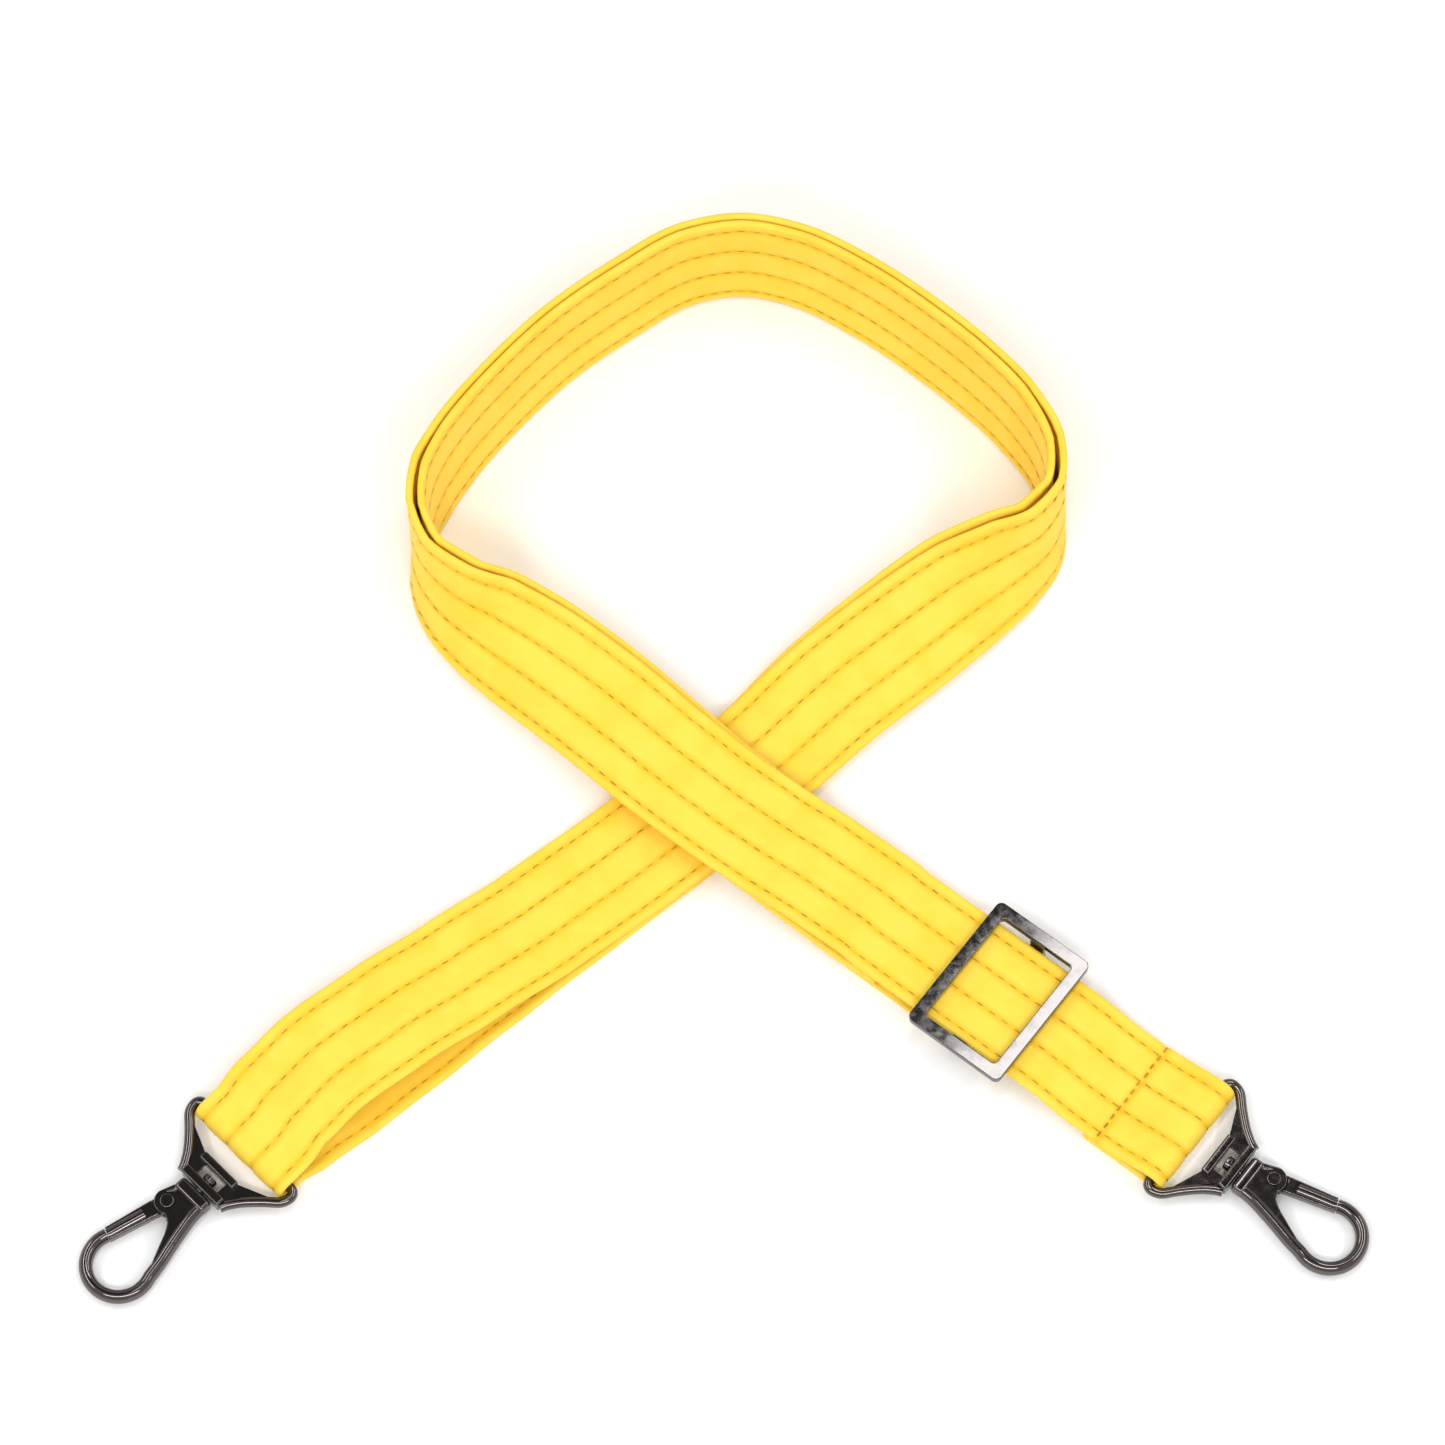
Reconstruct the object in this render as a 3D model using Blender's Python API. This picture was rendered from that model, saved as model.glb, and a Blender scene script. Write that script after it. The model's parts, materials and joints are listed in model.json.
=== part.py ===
"""Belt-webbing carry strap: a stitched belt band in one loop, a slider and two swivel snap hooks.

Units are metres, +Z is up, and the strap lies on the plane z = 0. The belt's legs lie flat and cross
under the loop, where the band stands on its edge. Each hook is built flat in its own axes, with +X
running from the bar that the belt wraps to the hook's tip, and is then turned into its place.
"""

from math import asin, cos, degrees, radians, sin

import bmesh
import bpy
from mathutils import Matrix, Vector

MM = 0.001

# ---- belt ----
BELT_WIDTH = 38 * MM
BELT_THICKNESS = 2.6 * MM
COVER_WALL = 0.6 * MM
SEWN_THICKNESS = 1.2 * MM
TAIL_LENGTH = 25 * MM
CLEARANCE = 0.3 * MM
FLOOR_GAP = 0.4 * MM
STATION_STEP = 5.2 * MM
STATION_TURN = 16

# ---- hook: D-loop ----
BAR_RADIUS = 1.65 * MM
FOLD_CLEARANCE = 0.4 * MM
LOOP_INSIDE = BELT_WIDTH + 1.0 * MM
LOOP_ARM = 3.3 * MM
LOOP_THICKNESS = 3.5 * MM
UPPER_PLATE = (10.6 * MM, 13.1 * MM)
LOWER_PLATE = (17.0 * MM, 20.0 * MM)
PLATE_THICKNESS = 6.0 * MM
WINDOW_HALF_WIDTH = 4.6 * MM

# ---- hook: body, gate, rivet ----
EYE_CENTRE = 53.3 * MM
EYE_OUTER_RADIUS = 12.3 * MM
EYE_INNER_RADIUS = 7.9 * MM
EYE_APEX = 35.6 * MM
BODY_THICKNESS = 5.6 * MM
BODY_START = 20.6 * MM
BODY_HALF_WIDTH = 6.2 * MM
NOSE_ANGLE = 111
GATE_PIVOT = (29.6 * MM, 3.9 * MM)
GATE_THICKNESS = 4.4 * MM
GATE_TONGUE = 2.0 * MM
GATE_ROOT_RADIUS = 3.1 * MM
CHEEK_RADIUS = 4.1 * MM
NOSE_GAP = 0.35 * MM
PIN_RADIUS = 1.1 * MM
POST_RADIUS = 1.3 * MM
HEAD_RADIUS = 2.3 * MM
HEAD_LENGTH = 2.0 * MM
POST_DEPTH = 3.6 * MM
SPRING_WIRE = 0.3 * MM

# ---- slider ----
SLIDER_LENGTH = 34.6 * MM
SLIDER_RAIL = 4.0 * MM
SLIDER_THICKNESS = 2.8 * MM
WINDOW_WIDTH = BELT_WIDTH + 1.9 * MM
CENTRE_BAR_RADIUS = 1.3 * MM
LUG_LENGTH = 5.0 * MM
LUG_INWARD = 0.5 * MM
LUG_THICKNESS = 1.7 * MM
SLIDE_TO_CROSSING = 30 * MM
SEWN_LAP = 12 * MM

# ---- places of the hooks and the slider ----
BAR_HEIGHT = BAR_RADIUS + 2 * CLEARANCE + BELT_THICKNESS
RIGHT_BAR = Vector((139.7, -136.6, 0)) * MM
RIGHT_TURN = -37.5
LEFT_BAR = Vector((-145.6, -140.6, 0)) * MM
LEFT_TURN = -135.5
SLIDER_BACK = 71.6 * MM

# The belt's lower edge from the slider to the left hook, x and y in millimetres. Then the angle in degrees
# that the band leans from lying flat outwards (90 is upright, 180 flat inwards), how far it is lifted off
# what it lies on, how far its two plies part, and how far the inner ply lies outwards of the outer one.
ROUTE = (
    (34.0, -79.6, 180, 1.8, 1.4, 1.2),
    (18.0, -68.4, 180, 4.8, 0.8, 0.6),
    (1.5, -57.0, 180, 6.9, 0.2, -0.6),
    (-15.0, -44.4, 178, 7.2, 0.2, -1.6),
    (-32.0, -30.4, 173, 6.9, 0.3, -2.0),
    (-49.0, -14.6, 166, 4.6, 0.6, -2.0),
    (-68.0, 2.4, 153, 1.6, 0.9, -1.6),
    (-84.0, 17.6, 136, 0.2, 1.2, -1.0),
    (-93.0, 31.0, 116, 0.0, 1.2, -0.4),
    (-96.5, 45.0, 99, 0.0, 1.0, 0.0),
    (-94.5, 58.0, 87, 0.0, 1.0, 0.0),
    (-89.5, 70.0, 80, 0.0, 0.8, 0.0),
    (-83.0, 80.5, 78, 0.0, 0.2, 0.0),
    (-67.0, 101.0, 78, 0.0, 0.1, 0.0),
    (-52.0, 116.5, 78, 0.0, 0.1, 0.0),
    (-30.5, 133.0, 78, 0.0, 0.1, 0.0),
    (-11.0, 144.8, 78, 0.0, 0.1, 0.0),
    (5.0, 147.6, 78, 0.0, 0.1, 0.0),
    (20.5, 144.4, 78, 0.0, 0.1, 0.0),
    (41.0, 133.6, 78, 0.0, 0.1, 0.0),
    (60.0, 119.8, 78, 0.0, 0.1, 0.0),
    (74.0, 107.8, 78, 0.0, 0.1, 0.0),
    (88.0, 93.5, 79, 0.0, 0.2, 0.0),
    (98.5, 79.0, 84, 0.0, 0.8, 0.0),
    (103.3, 66.0, 93, 0.0, 1.2, -0.4),
    (102.5, 53.0, 107, 0.0, 1.2, -1.0),
    (96.0, 41.0, 124, 0.0, 1.0, -1.6),
    (84.0, 28.0, 142, 0.0, 0.7, -2.0),
    (66.0, 11.5, 158, 0.0, 0.3, -2.0),
    (44.5, -6.9, 171, 0.0, 0.2, -1.6),
    (26.0, -25.0, 178, 0.0, 0.1, -1.0),
    (8.0, -40.7, 180, 0.0, 0.1, 0.0),
    (-16.0, -60.2, 180, 0.0, 0.1, 0.0),
    (-45.0, -83.0, 180, 0.0, 0.9, 1.0),
    (-68.0, -101.0, 180, 0.0, 4.8, 2.5),
    (-90.0, -118.4, 180, 0.0, 8.9, 4.5),
    (-108.0, -132.6, 180, 0.0, 9.3, 5.5),
    (-121.0, -143.6, 180, 0.0, 6.4, 3.5),
)


def material(name, colour, metallic, roughness):
    made = bpy.data.materials.new(name)
    made.use_nodes = True
    shader = made.node_tree.nodes["Principled BSDF"]
    shader.inputs["Base Color"].default_value = (*colour, 1)
    shader.inputs["Metallic"].default_value = metallic
    shader.inputs["Roughness"].default_value = roughness
    made.diffuse_color = (*colour, 1)
    return made


def add_object(name, mesh_data, finish, smooth=False):
    """Names a finished bmesh as one object of the scene."""
    bmesh.ops.recalc_face_normals(mesh_data, faces=mesh_data.faces)
    mesh = bpy.data.meshes.new(name)
    mesh_data.to_mesh(mesh)
    mesh_data.free()
    if smooth:
        mesh.shade_smooth()
        mesh.set_sharp_from_angle(angle=radians(40))
    made = bpy.data.objects.new(name, mesh)
    bpy.context.scene.collection.objects.link(made)
    if finish is None:
        made.hide_render = True
        made.display_type = "WIRE"
    else:
        mesh.materials.append(finish)
    return made


def boolean(target, cutter, operation="DIFFERENCE"):
    """Leaves a live exact Boolean on the target."""
    step = target.modifiers.new(cutter.name, "BOOLEAN")
    step.operation = operation
    step.solver = "EXACT"
    step.object = cutter
    return step


def flatten(target):
    """Merges the faces of each flat after the Booleans, so that none of them is a sliver."""
    step = target.modifiers.new("merge_flats", "DECIMATE")
    step.decimate_type = "DISSOLVE"
    step.angle_limit = radians(0.5)


def plate(name, outline, bottom, top, finish, bevel=0.0, segments=1):
    """A flat outline given as (x, y) points, pulled up from bottom to top with its rims bevelled."""
    shape = bmesh.new()
    face = shape.faces.new([shape.verts.new((x, y, bottom)) for x, y in outline])
    pulled = bmesh.ops.extrude_face_region(shape, geom=[face])["geom"]
    raised = [item for item in pulled if isinstance(item, bmesh.types.BMVert)]
    bmesh.ops.translate(shape, verts=raised, vec=(0, 0, top - bottom))
    bmesh.ops.recalc_face_normals(shape, faces=shape.faces)
    if bevel:
        rims = [e for e in shape.edges if abs(e.verts[0].co.z - e.verts[1].co.z) < bevel / 10]
        bmesh.ops.bevel(
            shape, geom=rims, offset=bevel, segments=segments, profile=0.5, affect="EDGES", material=-1
        )
    return add_object(name, shape, finish, smooth=True)


def rod(name, radius, start, end, finish, sides=16):
    """A round rod between two points."""
    start, end = Vector(start), Vector(end)
    shape = bmesh.new()
    bmesh.ops.create_cone(
        shape, cap_ends=True, segments=sides, radius1=radius, radius2=radius, depth=(end - start).length
    )
    turn = (end - start).to_track_quat("Z", "Y").to_matrix().to_4x4()
    bmesh.ops.transform(shape, matrix=Matrix.Translation((start + end) / 2) @ turn, verts=shape.verts)
    return add_object(name, shape, finish, smooth=True)


def box(name, low, high, finish=None):
    shape = bmesh.new()
    bmesh.ops.create_cube(shape, size=1)
    low, high = Vector(low), Vector(high)
    bmesh.ops.scale(shape, vec=high - low, verts=shape.verts)
    bmesh.ops.translate(shape, vec=(low + high) / 2, verts=shape.verts)
    return add_object(name, shape, finish)


def arc(centre, radius, start, end, steps):
    """Points on a circle from one angle to another, in degrees."""
    angles = [radians(start + (end - start) * k / steps) for k in range(steps + 1)]
    return [(centre[0] + radius * cos(a), centre[1] + radius * sin(a)) for a in angles]


# ---------------------------------------------------------------- belt
def route_frames():
    """Control frames along ROUTE: (middle between the plies, across, half the ply distance, half the slip)."""
    frames = []
    for i, (x, y, lean, lift, part, slip) in enumerate(ROUTE):
        before, after = ROUTE[max(i - 1, 0)], ROUTE[min(i + 1, len(ROUTE) - 1)]
        along = Vector((after[0] - before[0], after[1] - before[1], 0)).normalized()
        outward = Vector((-along.y, along.x, 0))
        across = outward * cos(radians(lean)) + UP * sin(radians(lean))
        half_apart = (BELT_THICKNESS + CLEARANCE + part * MM) / 2
        rest = (half_apart + BELT_THICKNESS / 2) * abs(cos(radians(lean))) + CLEARANCE
        middle = Vector((x * MM, y * MM, rest + lift * MM)) + across * BELT_WIDTH / 2
        frames.append((middle, across, half_apart, slip / 2 * MM))
    return frames


def tangents(points):
    """Unit-speed directions at each point, leaning towards its shorter neighbouring stretch."""
    steps = [b - a for a, b in zip(points, points[1:])]
    inside = [
        (a / a.length * b.length + b / b.length * a.length) / (a.length + b.length)
        for a, b in zip(steps, steps[1:])
    ]
    return [steps[0].normalized(), *inside, steps[-1].normalized()]


def smooth_frames(controls, fine=10):
    """Frames on a smooth curve through the controls, one for each STATION_STEP or STATION_TURN."""
    leans = tangents([frame[0] for frame in controls])
    dense = []
    for i, (start, end) in enumerate(zip(controls, controls[1:])):
        chord = (end[0] - start[0]).length
        for k in range(fine):
            t = k / fine
            middle = (
                start[0] * (2 * t**3 - 3 * t**2 + 1) + end[0] * (3 * t**2 - 2 * t**3)
                + leans[i] * chord * (t**3 - 2 * t**2 + t) + leans[i + 1] * chord * (t**3 - t**2)
            )
            apart, slip = (a + (b - a) * t * t * (3 - 2 * t) for a, b in zip(start[2:], end[2:]))
            dense.append((middle, start[1].lerp(end[1], t).normalized(), apart, slip))
    dense.append(controls[-1])
    kept, length, turn = [dense[0]], 0.0, 0.0
    for before, here, after in zip(dense, dense[1:], dense[2:]):
        length += (here[0] - before[0]).length
        turn += (here[0] - before[0]).angle(after[0] - here[0])
        if length > STATION_STEP or turn > radians(STATION_TURN):
            kept.append(here)
            length, turn = 0.0, 0.0
    return [*kept, dense[-1]]


def squared(frames):
    """(middle, across, outward normal) of each frame, with across square to the run of the middles."""
    found = []
    for i, (middle, across, *_) in enumerate(frames):
        before, after = frames[max(i - 1, 0)][0], frames[min(i + 1, len(frames) - 1)][0]
        along = (after - before).normalized()
        wide = (across - along * across.dot(along)).normalized()
        found.append((middle, wide, wide.cross(along)))
    return found


def band(name, frames, width, low, high, finish, hollow=0.0):
    """A strip of the given width along the frames, from low to high off its middle surface.

    With hollow, it is a sleeve with walls that thick, open at both ends.
    """
    shape = bmesh.new()
    rings = []
    for middle, wide, normal in squared(frames):
        sections = [(width / 2, low, high)]
        if hollow:
            sections.append((width / 2 - hollow, low + hollow, high - hollow))
        ring = []
        for half, under, over in sections:
            corners = [(-half, under), (half, under), (half, over), (-half, over)]
            ring.append([shape.verts.new(middle + wide * w + normal * n) for w, n in corners])
        rings.append(ring)
    for k in range(len(rings[0])):
        for one, two in zip(rings, rings[1:]):
            for j in range(4):
                a, b, c, d = one[k][j], one[k][(j + 1) % 4], two[k][(j + 1) % 4], two[k][j]
                shape.faces.new((a, b, c, d) if j < 2 else (b, c, d, a))
    for ring in (rings[0], rings[-1]):
        if hollow:
            for j in range(4):
                shape.faces.new((ring[0][j], ring[0][(j + 1) % 4], ring[1][(j + 1) % 4], ring[1][j]))
        else:
            shape.faces.new(ring[0])
    return add_object(name, shape, finish)


# ---------------------------------------------------------------- places worked out from the sizes
SLIDE_DIRECTION = Vector((cos(radians(RIGHT_TURN)), sin(radians(RIGHT_TURN)), 0))
SLIDE_ACROSS = Vector((-SLIDE_DIRECTION.y, SLIDE_DIRECTION.x, 0))
LEFT_DIRECTION = Vector((cos(radians(LEFT_TURN)), sin(radians(LEFT_TURN)), 0))
LEFT_ACROSS = Vector((LEFT_DIRECTION.y, -LEFT_DIRECTION.x, 0))
UP = Vector((0, 0, 1))
FOLD_RADIUS = BAR_RADIUS + FOLD_CLEARANCE + BELT_THICKNESS / 2
SEWN_RADIUS = CENTRE_BAR_RADIUS + CLEARANCE + SEWN_THICKNESS
CENTRE_BAR_HEIGHT = FLOOR_GAP + SEWN_RADIUS
BELT_IN_SLIDER = CENTRE_BAR_HEIGHT + SEWN_RADIUS + CLEARANCE + BELT_THICKNESS / 2
SLIDER_BOTTOM = BELT_IN_SLIDER + BELT_THICKNESS / 2 + CLEARANCE
RETURN_IN_SLIDER = FLOOR_GAP + SEWN_THICKNESS + CLEARANCE + BELT_THICKNESS / 2
RETURN_END = SLIDE_TO_CROSSING + SEWN_RADIUS + 2 * CLEARANCE
SEWN_LENGTH = RETURN_END + SEWN_LAP


def on_slide(back, upper, lower=None):
    """A control frame on the slider's straight leg, back from the right hook's bar, at its plies' heights."""
    lower = upper if lower is None else lower
    middle = RIGHT_BAR - SLIDE_DIRECTION * back + UP * (upper + lower) / 2
    return middle, SLIDE_ACROSS, (upper - lower) / 2, 0.0


def fold(bar, along, across, start, end, steps=8):
    """Control frames round a hook's bar, by their angle in degrees from straight above it."""
    angles = [radians(start + (end - start) * k / steps) for k in range(steps + 1)]
    centre = bar + UP * BAR_HEIGHT
    return [(centre + FOLD_RADIUS * (along * sin(a) + UP * cos(a)), across, 0.0, 0.0) for a in angles]


def belt_runs():
    """(outer run, return run) as (middle point, direction across), both from the slider's side to the left.

    The outer run starts with its tail under the right end and goes round the right hook's bar, through the
    slider and round the loop to the top of the left hook's bar. The return run starts short of the slider,
    follows below the outer run, and goes round the left hook's bar.
    """
    shared = [
        on_slide(SLIDER_BACK + RETURN_END + back * MM, BELT_IN_SLIDER, RETURN_IN_SLIDER) for back in (0, 6)
    ]
    shared += route_frames()
    for back, rise in ((6 * MM, 0.4 * MM), (0, 0)):
        place = LEFT_BAR - LEFT_DIRECTION * back + UP * (BAR_HEIGHT + rise)
        shared.append((place, LEFT_ACROSS, FOLD_RADIUS + rise, 0.0))
    shared = smooth_frames(shared)
    under = BAR_HEIGHT - FOLD_RADIUS
    sewn = under + BELT_THICKNESS + CLEARANCE
    right = [on_slide(back, under) for back in (TAIL_LENGTH, 18 * MM, 11 * MM, 5 * MM)]
    right += fold(RIGHT_BAR, SLIDE_DIRECTION, SLIDE_ACROSS, 180, 0)
    right += [on_slide(5 * MM, 7.4 * MM), on_slide(12 * MM, 5.5 * MM)]
    right += [on_slide(back, sewn) for back in (19 * MM, TAIL_LENGTH, 30 * MM)]
    right += [on_slide(36 * MM, 5.3 * MM), on_slide(42 * MM, 6.9 * MM)]
    right += [on_slide(back, BELT_IN_SLIDER) for back in (48 * MM, 56 * MM, SLIDER_BACK, SLIDER_BACK + RETURN_END)]
    outer = [frame[:2] for frame in smooth_frames(right)[:-1]]
    first = degrees(asin(2 * CLEARANCE / FOLD_RADIUS))
    left = smooth_frames(fold(LEFT_BAR, LEFT_DIRECTION, LEFT_ACROSS, 180, first))
    inner = []
    for (middle, wide, normal), (_, _, half_apart, half_slip) in zip(squared(shared), shared):
        step = normal * half_apart + wide * half_slip
        outer.append((middle + step, wide))
        inner.append((middle - step, wide))
    return outer, inner[:-1] + [frame[:2] for frame in left]


def build_belt(fabric, core):
    inner = COVER_WALL + CLEARANCE
    for name, frames in zip(("outer_run", "return_run"), belt_runs()):
        half = BELT_THICKNESS / 2
        band(name + "_cover", frames, BELT_WIDTH, -half, half, fabric, hollow=COVER_WALL)
        band(name + "_core", frames, BELT_WIDTH - 2 * inner, inner - half, half - inner, core)


def build_slider(metal, fabric):
    """Slider frame, its centre bar, and the belt's end sewn round that bar, in the slider's own axes."""
    holder = bpy.data.objects.new("slider_place", None)
    bpy.context.scene.collection.objects.link(holder)
    holder.location = RIGHT_BAR - SLIDE_DIRECTION * SLIDER_BACK
    holder.rotation_euler = (0, 0, radians(RIGHT_TURN))
    half_long, half_wide = SLIDER_LENGTH / 2, WINDOW_WIDTH / 2 + SLIDER_RAIL
    top = SLIDER_BOTTOM + SLIDER_THICKNESS
    frame = plate("slider_frame", rounded(half_long, half_wide, 2.1 * MM), SLIDER_BOTTOM, top, metal, 0.5 * MM, 2)
    window = plate(
        "slider_window_cut",
        rounded(half_long - SLIDER_RAIL, WINDOW_WIDTH / 2, 1.4 * MM),
        SLIDER_BOTTOM - MM,
        top + MM,
        None,
    )
    boolean(frame, window)
    window.parent = holder
    for side in (-1, 1):
        inside = side * (WINDOW_WIDTH / 2 - LUG_INWARD)
        outside = inside + side * LUG_THICKNESS
        low = Vector((-LUG_LENGTH / 2, min(inside, outside), FLOOR_GAP + 0.6 * MM))
        high = Vector((LUG_LENGTH / 2, max(inside, outside), top - 0.7 * MM))
        lug = box(f"slider_lug_{side}", low, high)
        boolean(frame, lug, "UNION")
        lug.parent = holder
    reach = WINDOW_WIDTH / 2 - LUG_INWARD + LUG_THICKNESS - 0.3 * MM
    ends = [(0, side * (reach + 4 * MM), CENTRE_BAR_HEIGHT) for side in (-1, 1)]
    bore = rod("slider_bore_cut", CENTRE_BAR_RADIUS + CLEARANCE, *ends, None)
    boolean(frame, bore)
    ends = [(0, side * reach, CENTRE_BAR_HEIGHT) for side in (-1, 1)]
    bar = rod("slider_centre_bar", CENTRE_BAR_RADIUS, *ends, metal)
    middle = SEWN_RADIUS - SEWN_THICKNESS / 2
    across = Vector((0, 1, 0))
    places = [(-back, CENTRE_BAR_HEIGHT - middle) for back in (SEWN_LENGTH, RETURN_END, 12 * MM, 3 * MM)]
    for k in range(10):
        a = radians(180 - 20 * k)
        places.append((middle * sin(a), CENTRE_BAR_HEIGHT + middle * cos(a)))
    places.append((-2.4 * MM, CENTRE_BAR_HEIGHT + middle))
    controls = [(Vector((x, 0, z)), across, 0.0, 0.0) for x, z in places]
    sewn_width = WINDOW_WIDTH - 2 * LUG_INWARD - 3 * CLEARANCE
    half = SEWN_THICKNESS / 2
    sewn = band("slider_sewn_end", smooth_frames(controls), sewn_width, -half, half, fabric)
    for piece in (frame, bore, bar, sewn):
        piece.parent = holder


def rounded(half_x, half_y, radius, steps=4):
    """A rectangle about the origin with rounded corners."""
    points = []
    for quarter, (sx, sy) in enumerate(((1, 1), (-1, 1), (-1, -1), (1, -1))):
        centre = (sx * (half_x - radius), sy * (half_y - radius))
        points += arc(centre, radius, 90 * quarter, 90 * quarter + 90, steps)
    return points


def build_loop(side, metal):
    """D-loop: a round bar between two arms that close on a window and a bored base."""
    half = LOOP_INSIDE / 2
    wide = half + LOOP_ARM
    upper = UPPER_PLATE[0]
    base = LOWER_PLATE[1]
    clear = FOLD_RADIUS + BELT_THICKNESS / 2 + CLEARANCE
    end = -BAR_RADIUS - 0.25 * MM
    one_side = [(end, half), (clear, half), (clear + 0.8 * MM, half - 1.2 * MM), (upper, 8.0 * MM)]
    outer_side = [
        (base, 9.0 * MM), (14.3 * MM, wide - 10.0 * MM), (clear + 3.4 * MM, wide - 4.6 * MM),
        (3.6 * MM, wide - 0.9 * MM),
        (1.4 * MM, wide), (-0.6 * MM, wide - 0.1 * MM), (end, wide - 1.2 * MM),
    ]
    outline = one_side + [(x, -y) for x, y in reversed(one_side)]
    outline += [(x, -y) for x, y in reversed(outer_side)] + outer_side
    loop = plate(side + "_d_loop", outline, -LOOP_THICKNESS / 2, LOOP_THICKNESS / 2, metal, 0.8 * MM, 2)
    bar = rod(side + "_loop_bar_add", BAR_RADIUS, (0, -half - 1.8 * MM, 0), (0, half + 1.8 * MM, 0), None, 20)
    block = box(
        side + "_loop_base_add",
        (LOWER_PLATE[0], -8 * MM, -PLATE_THICKNESS / 2),
        (LOWER_PLATE[1] + 0.1 * MM, 8 * MM, PLATE_THICKNESS / 2),
    )
    window = box(
        side + "_loop_window_cut",
        (UPPER_PLATE[1], -WINDOW_HALF_WIDTH, -5 * MM),
        (LOWER_PLATE[0] + 0.1 * MM, WINDOW_HALF_WIDTH, 5 * MM),
    )
    bore = rod(side + "_loop_bore_cut", POST_RADIUS + CLEARANCE, (15 * MM, 0, 0), (base + 2 * MM, 0, 0), None)
    boolean(loop, bar, "UNION")
    boolean(loop, block, "UNION")
    boolean(loop, window)
    boolean(loop, bore)
    flatten(loop)
    return loop, [bar, block, window, bore]


def build_rivet(side, metal):
    """Swivel rivet: its head sits in the window and its post is fixed in the hook body."""
    head_end = LOWER_PLATE[0] - CLEARANCE
    head = rod(side + "_swivel_rivet", HEAD_RADIUS, (head_end - HEAD_LENGTH, 0, 0), (head_end, 0, 0), metal)
    post_end = BODY_START + POST_DEPTH
    post = rod(side + "_post_add", POST_RADIUS, (head_end - MM, 0, 0), (post_end, 0, 0), None)
    boolean(head, post, "UNION")
    return head, [post]


def build_body(side, metal):
    """Hook body: forked root, teardrop eye and nose, with a slot for the gate's tongue."""
    centre = (EYE_CENTRE, 0)
    px, py = GATE_PIVOT
    outline = [(BODY_START, -BODY_HALF_WIDTH + MM), (BODY_START + MM, -BODY_HALF_WIDTH), (27 * MM, -6.5 * MM)]
    outline += [(33.6 * MM, -7.9 * MM), (41 * MM, -9.9 * MM)]
    outline += arc(centre, EYE_OUTER_RADIUS, -110, NOSE_ANGLE, 28)
    outline += arc(centre, EYE_INNER_RADIUS, NOSE_ANGLE, -112, 22)
    outline += [(EYE_APEX + 1.8 * MM, -3.1 * MM), (EYE_APEX, -2.1 * MM), (34.0 * MM, -0.9 * MM)]
    outline += arc(GATE_PIVOT, CHEEK_RADIUS, -35, 100, 8)
    outline += [(BODY_START + MM, BODY_HALF_WIDTH), (BODY_START, BODY_HALF_WIDTH - MM)]
    half = BODY_THICKNESS / 2
    body = plate(side + "_hook_body", outline, -half, half, metal, 1.0 * MM, 2)
    slot = GATE_TONGUE / 2 + CLEARANCE
    cuts = [
        box(side + "_slot_cut", (px - 3.5 * MM, -1.1 * MM, -slot), (px + 8 * MM, py + 9 * MM, slot)),
        rod(side + "_post_cut", POST_RADIUS + CLEARANCE, (BODY_START - 2 * MM, 0, 0),
            (BODY_START + POST_DEPTH + CLEARANCE, 0, 0), None),
        rod(side + "_pin_cut", PIN_RADIUS + CLEARANCE, (px, py, -5 * MM), (px, py, 5 * MM), None),
    ]
    for cut in cuts:
        boolean(body, cut)
    pin = rod(side + "_gate_pin", PIN_RADIUS, (px, py, -half + 0.1 * MM), (px, py, half - 0.1 * MM), metal)
    return body, pin, cuts


def build_gate(side, metal):
    """Gate, about its own pivot: a thin round tongue in the fork and a thicker arm out to the nose."""
    px, py = GATE_PIVOT
    nose = [(EYE_CENTRE + r * cos(radians(NOSE_ANGLE)), r * sin(radians(NOSE_ANGLE)))
            for r in (EYE_INNER_RADIUS, EYE_OUTER_RADIUS)]
    gap = (sin(radians(NOSE_ANGLE)) * NOSE_GAP, -cos(radians(NOSE_ANGLE)) * NOSE_GAP)
    end = [(x - gap[0] - px, y - gap[1] - py) for x, y in nose]
    outline = arc((0, 0), GATE_ROOT_RADIUS, 82, 295, 10)
    outline += [(4.6 * MM, -1.6 * MM), end[0], end[1], (3.9 * MM, 4.0 * MM)]
    half = GATE_THICKNESS / 2
    gate = plate(side + "_gate", outline, -half, half, metal, 0.7 * MM, 2)
    cuts = []
    for sign, label in ((1, "upper"), (-1, "lower")):
        ends = sorted((sign * GATE_TONGUE / 2, sign * 4 * MM))
        cuts.append(
            rod(f"{side}_tongue_{label}_cut", CHEEK_RADIUS + 2 * CLEARANCE, (0, 0, ends[0]), (0, 0, ends[1]), None, 32)
        )
    cuts.append(rod(side + "_gate_bore_cut", PIN_RADIUS + CLEARANCE, (0, 0, -5 * MM), (0, 0, 5 * MM), None))
    for cut in cuts:
        boolean(gate, cut)
    return gate, cuts


def build_spring(side, metal):
    """Gate spring: a bent wire on the floor of the fork's slot, pressing the gate's heel."""
    px, _ = GATE_PIVOT
    wire = [(px - 2.9 * MM, -0.3 * MM), (px - 1.2 * MM, -0.45 * MM), (px + 1.0 * MM, -0.35 * MM), (px + 2.8 * MM, 0.0)]
    curve = bpy.data.curves.new(side + "_gate_spring", "CURVE")
    curve.dimensions = "3D"
    curve.bevel_depth = SPRING_WIRE
    curve.bevel_resolution = 2
    curve.use_fill_caps = True
    line = curve.splines.new("POLY")
    line.points.add(len(wire) - 1)
    for point, (x, y) in zip(line.points, wire):
        point.co = (x, y, 0, 1)
    curve.materials.append(metal)
    spring = bpy.data.objects.new(side + "_gate_spring", curve)
    bpy.context.scene.collection.objects.link(spring)
    return spring


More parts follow.
